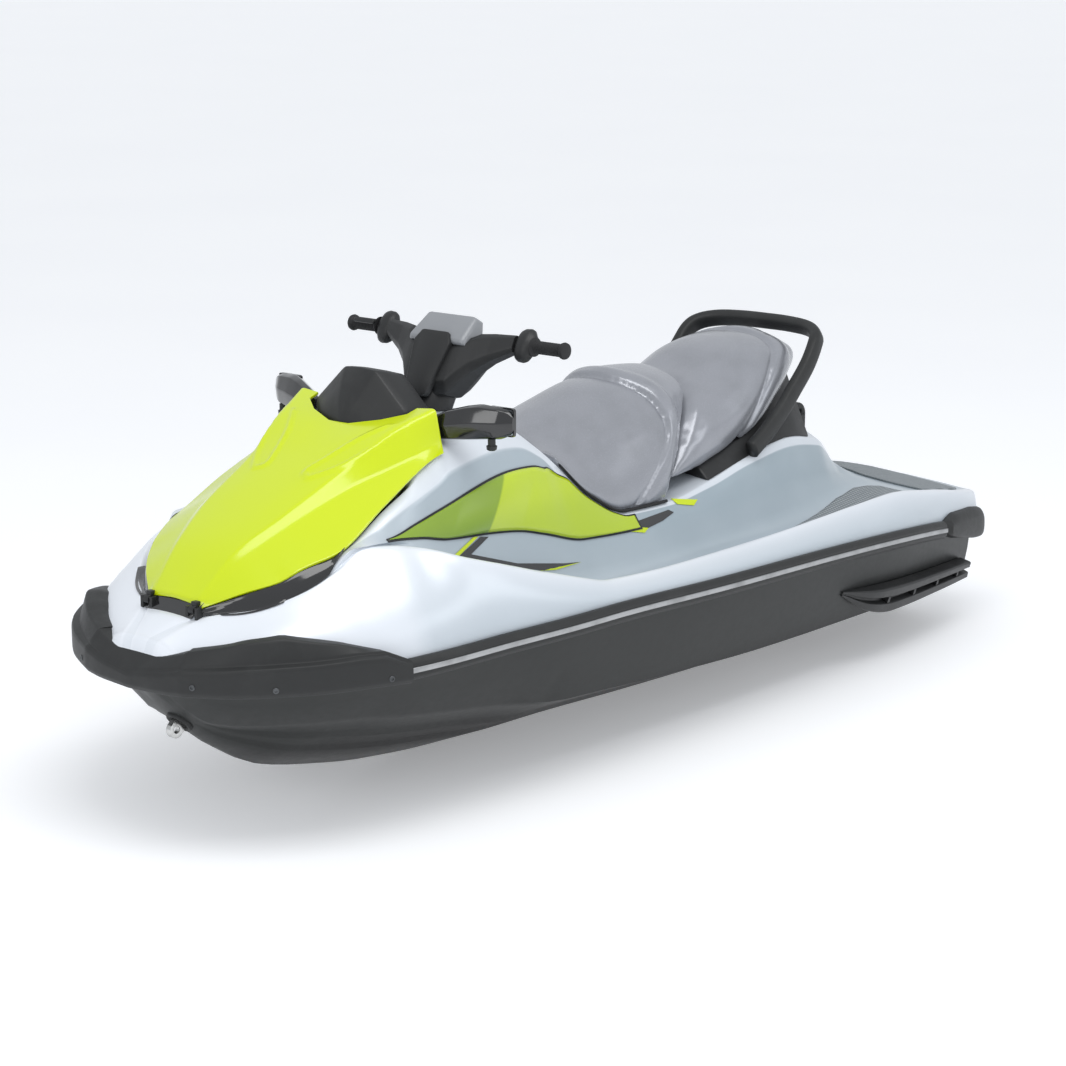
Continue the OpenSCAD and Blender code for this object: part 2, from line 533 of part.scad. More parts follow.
// Mirrors
mirror_in = half_beam * .347;
mirror_mid = half_beam * .398;
mirror_out = half_beam * .72;
mirror_w = half_beam * .1525;
mirror_root = [station * 7.05, station * 7.35];
mirror_head = [station * 6.48, station * 6.9];
root_low = cowl_height * .895;
root_high = cowl_height * .955;
head_low = cowl_height * .915;
head_high = cowl_height * .995;
glass_t = 4;
glass_rim = 7;
module mirror_housings() {
    color([.05, .05, .055]) afloat() both() difference() {
        hull() {
            slab(mirror_root[0], mirror_root[1], mirror_in, mirror_mid, root_low, root_high);
            slab(mirror_head[0], mirror_head[1], mirror_out - mirror_w, mirror_out, head_low, head_high);
        }
        deck_block(seat_gap);
    }
}
module mirror_glass() {
    x = mirror_head[0] - seat_gap;
    color([.8, .84, .88]) afloat() both()
        slab(x - glass_t, x, mirror_out - mirror_w + glass_rim, mirror_out - glass_rim,
            head_low + glass_rim, head_high - glass_rim);
}

// Seats: the joint between them leans aft
joint_x = station * -2.1;
joint_h = cowl_height * .60;
joint_lean = 41;
joint_gap = 3;
module joint_side(front) {
    translate([joint_x, 0, joint_h]) rotate([0, -joint_lean, 0])
        translate([front ? joint_gap / 2 - hull_length : -joint_gap / 2, -hull_length / 2,
            -hull_length / 2])
            cube([hull_length, hull_length, hull_length]);
}
module seat_front() {
    color([.56, .58, .61]) afloat() difference() {
        loft([for (n = within(-5, 2.6))
            let (b = liner_half(n, seat_gap))
            ring(concat(whole([b[0], at(front_side_shares, n), at(front_shoulder_shares, n),
                at(front_upper_shares, n), at(front_top_shares, n)]),
                backwards(whole([b[1], b[2]]))), n)]);
        joint_side(true);
    }
}
module seat_rear() {
    color([.56, .58, .61]) afloat() difference() {
        loft([for (n = within(-10.5, -2))
            ring(whole([at(rear_low_shares, n), at(rear_side_shares, n), at(rear_shoulder_shares, n),
                at(rear_upper_shares, n), at(rear_top_shares, n)]), n)]);
        joint_side(false);
    }
}
module seat_base() {
    color([.06, .06, .065]) afloat() loft([for (n = within(-9.5, -4))
        let (b = liner_half(n, seat_gap), t = at(rear_low_shares, n) - [0, seat_gap])
        ring(concat(whole([b[0], [t[0] * .92, t[1]], [0, t[1]]]), backwards(whole([b[1], b[2]]))), n)]);
}

// Grab rail behind the rear seat
grab_r = 19;
grab_shares = [[-5.3, .462, .58], [-6.2, .460, .668], [-7, .45, .72], [-8.05, .428, .791], [-9, .415, .876],
    [-9.71, .405, .936], [-10, .37, .968], [-10.2, .28, .982], [-10.27, .14, .987], [-10.3, 0, .989]];
module grab_ball(i) {
    translate([station * grab_shares[i][0], half_beam * grab_shares[i][1], cowl_height * grab_shares[i][2]])
        sphere(r = grab_r, $fn = 12);
}
module grab_rail() {
    color([.06, .06, .065]) afloat() difference() {
        both() for (i = [0 : len(grab_shares) - 2]) hull() {
            grab_ball(i);
            grab_ball(i + 1);
        }
        deck_block(seat_gap);
    }
}
tow_x = station * -11.75;
tow_h = cowl_height * .665;
tow_w = 56;
tow_r = 40;
module tow_hook() {
    color([.06, .06, .065]) afloat() difference() {
        union() {
            rod_y(tow_x, -tow_w / 2, tow_w / 2, tow_h, tow_r);
            slab(tow_x - tow_r, tow_x + tow_r, -tow_w / 2, tow_w / 2, tow_h - 3 * tow_r, tow_h);
        }
        deck_block(seat_gap);
        rod_y(tow_x - tow_r * .2, -tow_w, tow_w, tow_h + tow_r * .2, eye_bore_r);
    }
}

module footwell_mats() {
    color([.30, .31, .32]) afloat() both() loft([for (n = within(-11.8, 5.6))
        deck_strip(n, i_floor_out, i_floor_in, seat_gap, seat_gap + mat_t)]);
}
function platform_half(n, g) =
    let (p = deck_half(n)) [for (i = [i_floor_out : i_centre]) p[i] + out_at(p, i) * g];
module platform_mat() {
    color([.30, .31, .32]) afloat() loft([for (n = within(-15.6, -13))
        ring(concat(whole(platform_half(n, seat_gap + mat_t)),
            backwards(whole(platform_half(n, seat_gap)))), n)]);
}

// Sponsons on the hull sides aft
// Station and depth as a share of the half beam
sponson_shares = [[-15, .075], [-9, .068], [-7, .012]];
sponson_low_share = .04;
sponson_high_share = [[-15, .75], [-9, .9], [-7, .98]];
module sponsons() {
    color([.08, .08, .085]) afloat() both() loft([for (n = within(-15, -7))
        let (p = hull_half(n), d = unit(p[1] - p[2]), o = [d[1], -d[0]],
            deep = half_beam * fair(sponson_shares, n, 1),
            a = mix(p[2], p[1], sponson_low_share), b = mix(p[2], p[1], fair(sponson_high_share, n, 1)))
        ring([a + o * deep, b + o * deep, b + o * seat_gap, a + o * seat_gap], n)]);
}

grate_bar = 14;
grate_bars = 3;
grate_deep = 16;
module intake_grate() {
    w = grate_half_w - seat_gap;
    in_w = w - grate_bar;
    top = grate_h - seat_gap;
    x0 = grate_back + grate_bar;
    x1 = grate_front - grate_bar;
    color([.55, .56, .58]) afloat() {
        difference() {
            slab(grate_back + seat_gap, grate_front - seat_gap, -w, w, top - grate_deep, top);
            slab(x0, x1, -in_w, in_w, top - 2 * grate_deep, top + over);
        }
        for (i = [1 : grate_bars]) let (y = -w + 2 * w * i / (grate_bars + 1))
            slab(x0 - over, x1 + over, y - grate_bar / 2, y + grate_bar / 2, top - grate_deep, top);
    }
}
plate_h = 24;
plate_t = 12;
plate_side_h = 92;
plate_gap = 24;
plate_front = tunnel_front - plate_gap;
plate_back = station * -15.8;
module ride_plate() {
    w = tunnel_half_w - seat_gap;
    color([.55, .56, .58]) afloat() {
        slab(plate_back, plate_front, -w, w, plate_h, plate_h + plate_t);
        both() slab(plate_back, plate_front, w - plate_t, w, plate_h, plate_side_h);
    }
}

// Pump along X, running aft from the front wall of the tunnel
module along_pump(x) {
    translate([x, 0, pump_axis_h]) rotate([0, -90, 0]) children();
}
pump_start = tunnel_front - seat_gap;
hub_r = 30;
impeller_inset = 40;
impeller_x = tunnel_front - impeller_inset;
impeller_l = 80;
hub_inset = 140;
hub_x = tunnel_front - hub_inset;
hub_l = 110;
bearing_l = 60;
stator_vanes = 6;
vane_t = 8;
module pump_housing() {
    color([.45, .46, .48]) afloat() difference() {
        union() {
            difference() {
                union() {
                    along_pump(pump_start) cylinder(h = pump_l, r = pump_out_r);
                    along_pump(pump_start) cylinder(h = flange_t, r = pump_out_r + flange_lip);
                }
                along_pump(pump_start + over) cylinder(h = pump_l + 2 * over, r = bore_r);
            }
            along_pump(hub_x) cylinder(h = hub_l, r = hub_r);
            along_pump(hub_x) for (i = [0 : stator_vanes - 1]) rotate([0, 0, 360 * i / stator_vanes])
                translate([hub_r - over, -vane_t / 2, 0]) cube([bore_r - hub_r + 2 * over, vane_t, hub_l]);
        }
        along_pump(hub_x + over) cylinder(h = bearing_l + over, r = drive_r + run_gap);
    }
}
nozzle_start = pump_start - pump_l - seat_gap;
cone_l = 55;
neck_l = 48;
neck_wall = 6;
neck_r = jet_r + neck_wall;
pin_r = 7;
pin_out = 78;
pivot_inset = 36;
pivot_x = nozzle_start - cone_l - pivot_inset;
bucket_inset = 64;
bucket_rise = 50;
bucket_x = nozzle_start - bucket_inset;
bucket_h = pump_axis_h + bucket_rise;
lug_in = 92;
lug_out = 102;
lug_past = 22;
lug_back = bucket_x - lug_past;
lug_low = 8;
lug_high = 66;
bucket_pin_r = 8;
bucket_pin_out = 122;
module pump_nozzle() {
    color([.45, .46, .48]) afloat() {
        along_pump(nozzle_start) rotate_extrude() polygon([[bore_r, 0], [pump_out_r + flange_lip, 0],
            [pump_out_r + flange_lip, flange_t], [pump_out_r - neck_wall, flange_t], [neck_r, cone_l],
            [neck_r, cone_l + neck_l], [jet_r, cone_l + neck_l], [jet_r, cone_l]]);
        for (s = [0, 180]) translate([pivot_x, 0, pump_axis_h]) rotate([s, 0, 0])
            translate([0, 0, jet_r + neck_wall / 2])
                cylinder(h = pin_out - jet_r - neck_wall / 2, r = pin_r);
        both() {
            slab(lug_back, nozzle_start - flange_t / 2, lug_in, lug_out, pump_axis_h + lug_low,
                pump_axis_h + lug_high);
            rod_y(bucket_x, lug_in + over, bucket_pin_out, bucket_h, bucket_pin_r);
        }
    }
}
ball_in = 63;
ball_out = 72;
ball_front = 6;
tail_l = 85;
tail_start = 40;
module steering_nozzle() {
    wide = ball_out + over;
    color([.30, .31, .33]) afloat() translate([pivot_x, 0, pump_axis_h]) difference() {
        union() {
            intersection() {
                sphere(r = ball_out);
                slab(-wide, ball_front, -wide, wide, -wide, wide);
            }
            rod_x(-tail_l, -tail_start, 0, 0, jet_r + neck_wall);
        }
        sphere(r = ball_in);
        rod_x(-tail_l - over, 0, 0, 0, jet_r);
        translate([0, 0, -wide]) cylinder(h = 2 * wide, r = pin_r + run_gap);
    }
}
scoop_in = 160;
scoop_out = 168;
scoop_low = 0;
scoop_high = 23;
arm_gap = 5;
arm_in = lug_out + arm_gap;
arm_t = 8;
boss_r = 20;
module reverse_bucket() {
    wedge = 2 * scoop_out;
    color([.30, .31, .33]) afloat() translate([bucket_x, 0, bucket_h]) difference() {
        union() {
            difference() {
                rod_y(0, -arm_in - arm_t, arm_in + arm_t, 0, scoop_out);
                rod_y(0, -arm_in - 2 * arm_t, arm_in + 2 * arm_t, 0, scoop_in);
                rotate([0, scoop_high, 0]) slab(-wedge, wedge, -wedge, wedge, 0, wedge);
                rotate([0, scoop_low, 0]) slab(-wedge, wedge, -wedge, wedge, -wedge, 0);
                slab(0, wedge, -wedge, wedge, -wedge, wedge);
            }
            for (y = [arm_in, -arm_in - arm_t]) {
                rod_y(0, y, y + arm_t, 0, boss_r);
                translate([0, y + arm_t, 0]) rotate([90, 0, 0]) linear_extrude(arm_t) polygon([
                    [0, -boss_r * .8], [-scoop_in * cos(scoop_low) - over, scoop_in * sin(scoop_low)],
                    [-scoop_in * cos(scoop_high) - over, scoop_in * sin(scoop_high)], [0, boss_r * .8]]);
            }
        }
        rod_y(0, -2 * scoop_out, 2 * scoop_out, 0, bucket_pin_r + run_gap);
    }
}
blade_pitch = 52;
blade_t = 7;
module impeller() {
    color([.70, .71, .73]) afloat() {
        along_pump(impeller_x) {
            cylinder(h = impeller_l, r = hub_r);
            intersection() {
                cylinder(h = impeller_l, r = impeller_r);
                for (i = [0 : impeller_blades - 1]) rotate([0, 0, 360 * i / impeller_blades])
                    translate([hub_r - over, 0, impeller_l / 2]) rotate([blade_pitch, 0, 0])
                        translate([0, -blade_t / 2, -impeller_r])
                            cube([impeller_r, blade_t, 2 * impeller_r]);
            }
        }
        rod_x(hub_x - bearing_l + 2 * over, drive_front, 0, pump_axis_h, drive_r);
    }
}

// Hood, hinged at its front edge
hinge_x = station * 14.36;
hinge_h = cowl_height * .572;
hinge_r = 11;
hinge_pin_r = 5;
knuckle_in = 72;
knuckle_out = 90;
notch_shares = [[7.2, .305], [7.95, .295], [8.5, .185], [8.62, .10]];
function hood_half(n) = [for (t = hood_lines) at(t, n)];
function hood_inner(n) =
    let (p = hood_half(n)) [for (i = [0 : len(p) - 1]) p[i] - out_at(p, i) * hood_wall];
module hood() {
    right = [for (q = notch_shares) [station * q[0], half_beam * q[1]]];
    left = [for (i = [len(right) - 1 : -1 : 0]) [right[i][0], -right[i][1]]];
    color([.78, .85, .03]) afloat() difference() {
        loft([for (n = hood_station_shares)
            ring(concat(whole(hood_half(n)), backwards(whole(hood_inner(n)))), n)]);
        linear_extrude(2 * cowl_height) polygon(concat(right, left));
    }
}
knuckle_arm_h = 10;
module hood_knuckles() {
    front = station * 14.2 + seat_gap;
    top = hinge_h + 2 * knuckle_arm_h;
    color([.06, .06, .065]) afloat() both() difference() {
        union() {
            rod_y(hinge_x, knuckle_in, knuckle_out, hinge_h, hinge_r);
            slab(front, hinge_x, knuckle_in, knuckle_out, hinge_h + knuckle_arm_h, top);
            slab(hinge_x - hinge_r * .7, hinge_x, knuckle_in, knuckle_out, hinge_h, top);
        }
        rod_y(hinge_x, 0, 2 * knuckle_out, hinge_h, hinge_pin_r + run_gap);
    }
}
post_w = 10;
post_half = 8;
post_gap = 2;
module hood_brackets() {
    y0 = knuckle_in - post_gap - post_w;
    y1 = knuckle_out + post_gap;
    color([.06, .06, .065]) afloat() both() difference() {
        union() {
            rod_y(hinge_x, y0, y1 + post_w, hinge_h, hinge_pin_r);
            for (y = [y0, y1]) slab(hinge_x - post_half, hinge_x + post_half, y, y + post_w,
                hinge_h - 5 * post_half, hinge_h + post_half);
        }
        deck_block(seat_gap);
    }
}

// Handlebar, on an axis that leans aft
steer_x = station * 5;
steer_h = cowl_height * .935;
mount_r = 58;
mount_low = -70;
mount_top = 40;
shaft_low = 12;
shaft_top = 95;
cover_low = 50;
cover_r = 46;
cover_half_w = 110;
cover_mid = 115;
cover_high = 152;
module bar_frame() {
    translate([steer_x, 0, steer_h]) rotate([0, -steer_rake, 0]) children();
}
module steering_mount() {
    color([.06, .06, .065]) afloat() difference() {
        bar_frame() translate([0, 0, mount_low]) cylinder(h = mount_top - mount_low, r = mount_r);
        deck_block(seat_gap);
        bar_frame() translate([0, 0, mount_low - over])
            cylinder(h = mount_top - mount_low + 2 * over, r = shaft_r + run_gap);
    }
}
module steering_shaft() {
    color([.5, .51, .53]) afloat() bar_frame() translate([0, 0, shaft_low])
        cylinder(h = shaft_top - shaft_low, r = shaft_r);
}
module handlebar_cover() {
    color([.06, .06, .065]) afloat() bar_frame() difference() {
        hull() {
            translate([0, 0, cover_low]) cylinder(h = over, r = cover_r);
            slab(-cover_r * .8, cover_r * 1.4, -cover_half_w, cover_half_w, cover_mid, cover_high);
        }
        translate([0, 0, cover_low - over])
            cylinder(h = shaft_top - cover_low + over + seat_gap, r = shaft_r + seat_gap);
    }
}
shield_half_w = 98;
shield_top = 243;
module handlebar_shield() {
    color([.62, .64, .66]) afloat() bar_frame() hull() {
        slab(-cover_r * .5, cover_r * 1.5, -shield_half_w, shield_half_w, cover_high + seat_gap,
            cover_high + 3 * over);
        slab(0, cover_r * .8, -shield_half_w * .9, shield_half_w * .9, shield_top - over, shield_top);
    }
}
pod_l = 50;
pod_end = bar_span / 2 - grip_l;
arm_end = pod_end - pod_l;
module handlebar_arms() {
    color([.06, .06, .065]) afloat() bar_frame() both() hull() {
        slab(-cover_r * .3, cover_r * 1.2, cover_half_w + seat_gap, cover_half_w + 2 * over, cover_mid,
            cover_high + 4 * over);
        slab(-cover_r * .3, cover_r * .8, arm_end - over, arm_end, cover_high + 2 * over,
            cover_high + 11 * over);
    }
}
grip_u = -5;
grip_w = 195;
module switch_housings() {
    color([.05, .05, .055]) afloat() bar_frame() both()
        slab(-grip_r * 1.6, grip_r * 1.9, arm_end + seat_gap, pod_end, grip_w - grip_r * 1.8,
            grip_w + grip_r * 1.3);
}
module grips() {
    color([.04, .04, .045]) afloat() bar_frame() both() {
        rod_y(grip_u, pod_end + seat_gap, bar_span / 2, grip_w, grip_r);
        rod_y(grip_u, bar_span / 2 - 2 * over, bar_span / 2, grip_w, grip_r * 1.25);
    }
}
lever_l = 75;
module throttle_lever() {
    color([.05, .05, .055]) afloat() bar_frame()
        slab(grip_r * 1.4, grip_r * 1.85, -pod_end - lever_l, -pod_end - seat_gap, grip_w - grip_r * .4,
            grip_w + grip_r * .4);
}

hull_shell();
deck();
deck_sides();
engine();
rub_rails();
rail_inserts();
bow_bumper();
stern_bumpers();
bow_eye();
stern_eyes();
side_panels();
storage_liner();
meter_cover();
meter_display();
mirror_housings();
mirror_glass();
seat_front();
seat_rear();
seat_base();
grab_rail();
tow_hook();
footwell_mats();
platform_mat();
sponsons();
intake_grate();
ride_plate();
pump_housing();
pump_nozzle();
steering_mount();
hood();
hood_knuckles();
hood_brackets();
steering_shaft();
handlebar_cover();
handlebar_shield();
handlebar_arms();
switch_housings();
grips();
throttle_lever();
steering_nozzle();
reverse_bucket();
impeller();
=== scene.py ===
"""Looks of the jet boat: deck, hood, padded saddle, trims, mats and finishes over the CAD frame."""

import math

import bmesh
import bpy
import numpy as np
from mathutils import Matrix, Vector
from mathutils.bvhtree import BVHTree


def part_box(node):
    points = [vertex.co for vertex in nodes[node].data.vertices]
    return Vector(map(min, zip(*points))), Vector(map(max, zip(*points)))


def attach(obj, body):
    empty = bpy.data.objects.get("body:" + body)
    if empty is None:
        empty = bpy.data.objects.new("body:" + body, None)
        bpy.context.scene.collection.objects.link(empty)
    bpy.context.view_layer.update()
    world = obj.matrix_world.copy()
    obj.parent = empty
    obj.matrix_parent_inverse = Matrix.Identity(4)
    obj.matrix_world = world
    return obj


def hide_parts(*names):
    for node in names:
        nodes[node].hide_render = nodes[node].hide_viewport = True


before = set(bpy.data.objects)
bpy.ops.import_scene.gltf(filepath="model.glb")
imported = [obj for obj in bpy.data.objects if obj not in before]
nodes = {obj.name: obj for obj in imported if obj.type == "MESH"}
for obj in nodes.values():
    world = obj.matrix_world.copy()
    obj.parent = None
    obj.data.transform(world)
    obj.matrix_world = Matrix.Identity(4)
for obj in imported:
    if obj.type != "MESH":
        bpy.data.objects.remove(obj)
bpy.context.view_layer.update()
scene = bpy.context.scene

# The boat's own measures, in metres: stations run forward, half-breadths are shares of HALF, heights of HIGH
STATION, HALF, HIGH, DRAUGHT = 0.1, 0.59, 1.0, 0.28

# Camera: the studio view, and the ray through one pixel of its square frame
FRAME_SIDE, FOCAL, SENSOR = 1066, 2600, 36
eye, aim = Vector((5.503, 4.621, 1.913)), Vector((0.083, 0.0, 0.2255))
camera = bpy.data.objects.new("camera", bpy.data.cameras.new("camera"))
scene.collection.objects.link(camera)
camera.location = eye
turn = (aim - eye).to_track_quat("-Z", "Y")
camera.rotation_mode = "QUATERNION"
camera.rotation_quaternion = turn
camera.data.sensor_width = SENSOR
camera.data.lens = SENSOR * FOCAL / FRAME_SIDE
scene.camera = camera


def sight(px, py):
    mid = FRAME_SIDE / 2
    return (turn @ Vector(((px - mid) / FOCAL, (mid - py) / FOCAL, -1))).normalized()


# Tables of offsets of the mouldings: station, half-breadth, height above the keel
RAIL = [[-16.3, .712, .290], [-15, .763, .312], [-13, .822, .342], [-10, .898, .376], [-6, .941, .402],
        [0, .966, .425], [5, .958, .441], [8, .919, .441], [10, .880, .437], [11.5, .825, .433],
        [12.8, .735, .428], [14, .598, .425], [14.8, .44, .425], [15.3, .27, .425]]
SHOULDER = [[-16.3, .70, .345], [-15, .755, .37], [-13, .81, .402], [-10, .885, .44], [-6, .93, .453],
            [0, .955, .468], [4, .95, .485], [6, .935, .515], [8, .90, .545], [10, .85, .555],
            [11.4, .79, .545], [12.8, .69, .54], [13.8, .56, .53], [14.6, .40, .505], [15.3, .22, .475]]
CREST = [[-16.3, .685, .396], [-15.5, .72, .41], [-13, .775, .457], [-10.3, .797, .492],
         [-8, .822, .493], [-4, .856, .490], [0, .873, .492], [2, .881, .496], [3.7, .881, .508],
         [4.5, .873, .527], [6.2, .856, .581], [8, .825, .637], [9.5, .755, .680], [10.7, .69, .702],
         [11.3, .61, .710], [11.9, .56, .665], [12.6, .50, .622], [13.5, .37, .58], [14.3, .19, .556],
         [15.3, .12, .51]]
CREST_IN = [[-16.3, .65, .402], [-15.5, .69, .416], [-13, .74, .463], [-10.3, .762, .497],
            [-8, .788, .498], [-4, .822, .495], [0, .838, .497], [3.7, .845, .513], [6.2, .81, .588],
            [8, .775, .645], [9.5, .71, .688], [10.7, .655, .711], [11.3, .60, .712], [11.9, .548, .66],
            [12.6, .49, .618], [13.5, .358, .577], [14.3, .18, .555], [15.3, .105, .511]]
FLOOR_OUT = [[-16.3, .62, .401], [-15, .66, .419], [-13, .70, .455], [-12, .712, .468],
             [-11, .719, .470], [-10, .725, .464], [-8, .746, .450], [-6, .759, .442], [-1, .783, .440],
             [2, .79, .444], [5, .763, .452], [6.2, .737, .470], [7.4, .712, .530], [9, .653, .640],
             [10, .625, .690], [10.7, .62, .708], [11.3, .585, .710], [11.9, .536, .655],
             [12.6, .48, .614], [13.5, .347, .574], [14.3, .172, .554], [15.3, .09, .511]]
FLOOR_IN = [[-16.3, .50, .408], [-15, .50, .428], [-13, .49, .462], [-12, .458, .476],
            [-11, .475, .478], [-10, .508, .472], [-8, .539, .456], [-6, .551, .446], [-1, .568, .442],
            [2, .576, .446], [5, .593, .455], [6.2, .597, .480], [7.4, .595, .545], [9, .598, .655],
            [10, .59, .697], [10.7, .585, .706], [11.3, .568, .708], [11.9, .522, .651],
            [12.6, .469, .610], [13.5, .335, .571], [14.3, .162, .553], [15.3, .075, .512]]
BASE = [[-16.3, .33, .415], [-15, .33, .438], [-13, .32, .472], [-12, .32, .496], [-11, .38, .512],
        [-10, .424, .532], [-8, .461, .545], [-6, .483, .545], [-4, .492, .54], [-1, .502, .54],
        [2.2, .51, .557], [4, .522, .605], [5, .528, .631], [6.2, .538, .648], [8, .555, .666],
        [9, .565, .688], [10.2, .575, .703], [10.7, .565, .705], [11.3, .548, .705], [11.9, .508, .647],
        [12.6, .458, .607], [13.5, .322, .569], [14.3, .153, .552], [15.3, .06, .512]]
PANEL = [[-16.3, .25, .418], [-15, .25, .442], [-13, .25, .48], [-12, .27, .52], [-11, .335, .56],
         [-10, .39, .60], [-8, .43, .62], [-6, .45, .61], [-4, .463, .58], [-2, .468, .566],
         [0.2, .468, .574], [1.5, .455, .62], [2.6, .43, .70], [3.3, .428, .765], [4, .44, .785],
         [5, .462, .791], [8, .515, .745], [9, .535, .728], [10.3, .56, .709], [10.7, .55, .709],
         [11.3, .528, .700], [11.9, .497, .66], [12.6, .447, .63], [13.5, .313, .59],
         [14.3, .147, .557], [15.3, .05, .512]]
LEDGE = [[-16.3, .19, .42], [-15, .19, .445], [-13, .19, .485], [-12, .22, .535], [-11, .305, .592],
         [-10, .364, .64], [-8, .407, .675], [-6, .42, .65], [-4, .427, .61], [-2, .44, .585],
         [0, .445, .59], [1.5, .43, .66], [2.6, .40, .76], [3.3, .37, .82], [4.2, .35, .876],
         [5, .37, .887], [6.2, .40, .892], [7.4, .425, .885], [7.9, .44, .852], [9.85, .475, .772],
         [11.37, .49, .692], [12.5, .425, .653], [12.95, .385, .630], [13.58, .29, .602],
         [14.2, .15, .563], [14.4, .13, .554], [15.3, .04, .512]]
CROWN = [[-16.3, .1, .424], [-15, .1, .449], [-13, .1, .489], [-12, .12, .56], [-11, .15, .642],
         [-10, .18, .688], [-8, .21, .702], [-6, .21, .685], [-4, .21, .625], [-2, .22, .60],
         [0, .22, .605], [1.5, .22, .68], [2.6, .22, .78], [3.3, .22, .85], [4.2, .22, .905],
         [5, .26, .915], [6.2, .29, .922], [7.4, .30, .925], [8.2, .28, .915], [8.5, .30, .88],
         [9, .37, .55], [9.4, .40, .42], [10, .41, .39], [11, .42, .385], [12, .39, .40],
         [12.8, .31, .43], [13.4, .24, .48], [14, .12, .55], [14.4, .09, .554], [15.3, .02, .513]]
CENTRE = [[-16.3, 0, .425], [-15, 0, .45], [-13, 0, .49], [-12, 0, .565], [-11, 0, .652],
          [-10, 0, .695], [-8, 0, .706], [-6, 0, .69], [-4, 0, .628], [-2, 0, .602], [0, 0, .607],
          [1.5, 0, .685], [2.6, 0, .79], [3.3, 0, .86], [4.2, 0, .915], [5, 0, .925], [6.2, 0, .93],
          [7.4, 0, .93], [8.2, 0, .92], [8.5, 0, .88], [9, 0, .55], [9.4, 0, .415], [10, 0, .385],
          [11, 0, .38], [12, 0, .39], [12.8, 0, .42], [13.4, 0, .47], [14, 0, .55], [14.4, 0, .555],
          [15.3, 0, .514]]
DECK = [RAIL, SHOULDER, CREST, CREST_IN, FLOOR_OUT, FLOOR_IN, BASE, PANEL, LEDGE, CROWN, CENTRE]
HOOD = [
    [[7.45, .455, .874], [7.9, .458, .864], [9.85, .49, .784], [11.37, .508, .704], [12.5, .44, .665],
     [12.95, .398, .64], [13.58, .30, .615], [14.2, .165, .577]],
    [[7.45, .44, .905], [8.5, .40, .868], [10, .33, .818], [11.85, .275, .749], [13.16, .203, .68],
     [14.2, .15, .59]],
    [[7.45, .41, .985], [8.5, .35, .945], [10, .28, .858], [11.85, .23, .769], [13.16, .17, .694],
     [14.2, .13, .594]],
    [[7.45, .24, .975], [8.5, .20, .942], [10, .16, .866], [11.85, .12, .774], [13.16, .09, .698],
     [14.2, .07, .597]],
    [[7.45, 0, .962], [8.2, 0, .945], [10, 0, .866], [11.85, 0, .775], [13.16, 0, .70], [14.2, 0, .60]]]
NOTCH = [[7.2, .305], [7.8, .295], [8.2, .2], [8.5, .06]]
SEAT_FRONT = [
    [[-5, .29, .74], [-4, .355, .70], [-3, .415, .665], [-1.4, .455, .635], [0, .465, .64],
     [1.8, .455, .70], [2.6, .41, .79]],
    [[-5, .22, .85], [-4, .27, .875], [-3, .31, .875], [-2, .33, .858], [0, .305, .818],
     [1.8, .25, .788], [2.6, .20, .798]],
    [[-5, .12, .885], [-4, .15, .918], [-3, .17, .924], [-2, .18, .906], [0, .17, .860],
     [1.8, .13, .824], [2.6, .10, .818]],
    [[-5, 0, .90], [-3.8, 0, .936], [-2.5, 0, .938], [-1.24, 0, .918], [.53, 0, .868], [1.8, 0, .834],
     [2.6, 0, .825]]]
SEAT_REAR = [
    [[-10.5, .13, .895], [-9.5, .24, .855], [-8, .33, .786], [-6.5, .37, .715], [-5, .38, .67],
     [-3.6, .39, .645], [-2, .39, .63]],
    [[-10.5, .15, .905], [-9.5, .28, .89], [-8, .36, .85], [-6, .38, .80], [-4, .39, .74],
     [-2, .40, .70]],
    [[-10.5, .10, .915], [-9.5, .24, .930], [-8.7, .30, .932], [-7, .33, .905], [-5, .34, .84],
     [-2, .35, .80]],
    [[-10.5, .06, .922], [-9.5, .13, .958], [-8.7, .17, .966], [-7, .19, .948], [-5, .19, .872],
     [-2, .20, .84]],
    [[-10.5, 0, .925], [-10, 0, .954], [-9, 0, .975], [-7.5, 0, .969], [-6.5, 0, .944], [-5.3, 0, .884],
     [-4.6, 0, .87], [-2, 0, .86]]]
JOINT_AT, JOINT_LEAN = np.array([-.21, 0, .60 - DRAUGHT]), math.radians(41)
GRAB = [[-6, .440, .672], [-6.68, .436, .708], [-7.5, .430, .760], [-8.22, .424, .820],
        [-8.95, .418, .884], [-9.45, .405, .940], [-9.8, .37, .963], [-10.1, .28, .975],
        [-10.25, .14, .979], [-10.3, 0, .979]]


def fair(table, n, column):
    """Smooth reading of a table between its rows, without overshoot."""
    t = np.asarray(table, float)
    x, y = t[:, 0], t[:, column]
    run, chord = np.diff(x), np.diff(y) / np.diff(x)
    a, b = chord[:-1], chord[1:]
    inner = np.where(a * b <= 0, 0, 2 * a * b / np.where(a + b == 0, 1, a + b))
    grade = np.concatenate([chord[:1], inner, chord[-1:]])
    n = np.clip(n, x[0], x[-1])
    i = np.clip(np.searchsorted(x, n, side="right") - 1, 0, len(x) - 2)
    u = (n - x[i]) / run[i]
    v = 1 - u
    return (y[i] * (1 + 2 * u) * v * v + grade[i] * run[i] * u * v * v
            + y[i + 1] * u * u * (1 + 2 * v) - grade[i + 1] * run[i] * v * u * u)


def step(x):
    """0 to 1, eased at both ends."""
    x = np.clip(x, 0, 1)
    return x * x * (3 - 2 * x)


def line(table, n):
    """Points of one line of the moulding at stations n."""
    n = np.asarray(n, float)
    return np.stack([n * STATION, HALF * fair(table, n, 1), HIGH * fair(table, n, 2) - DRAUGHT], -1)


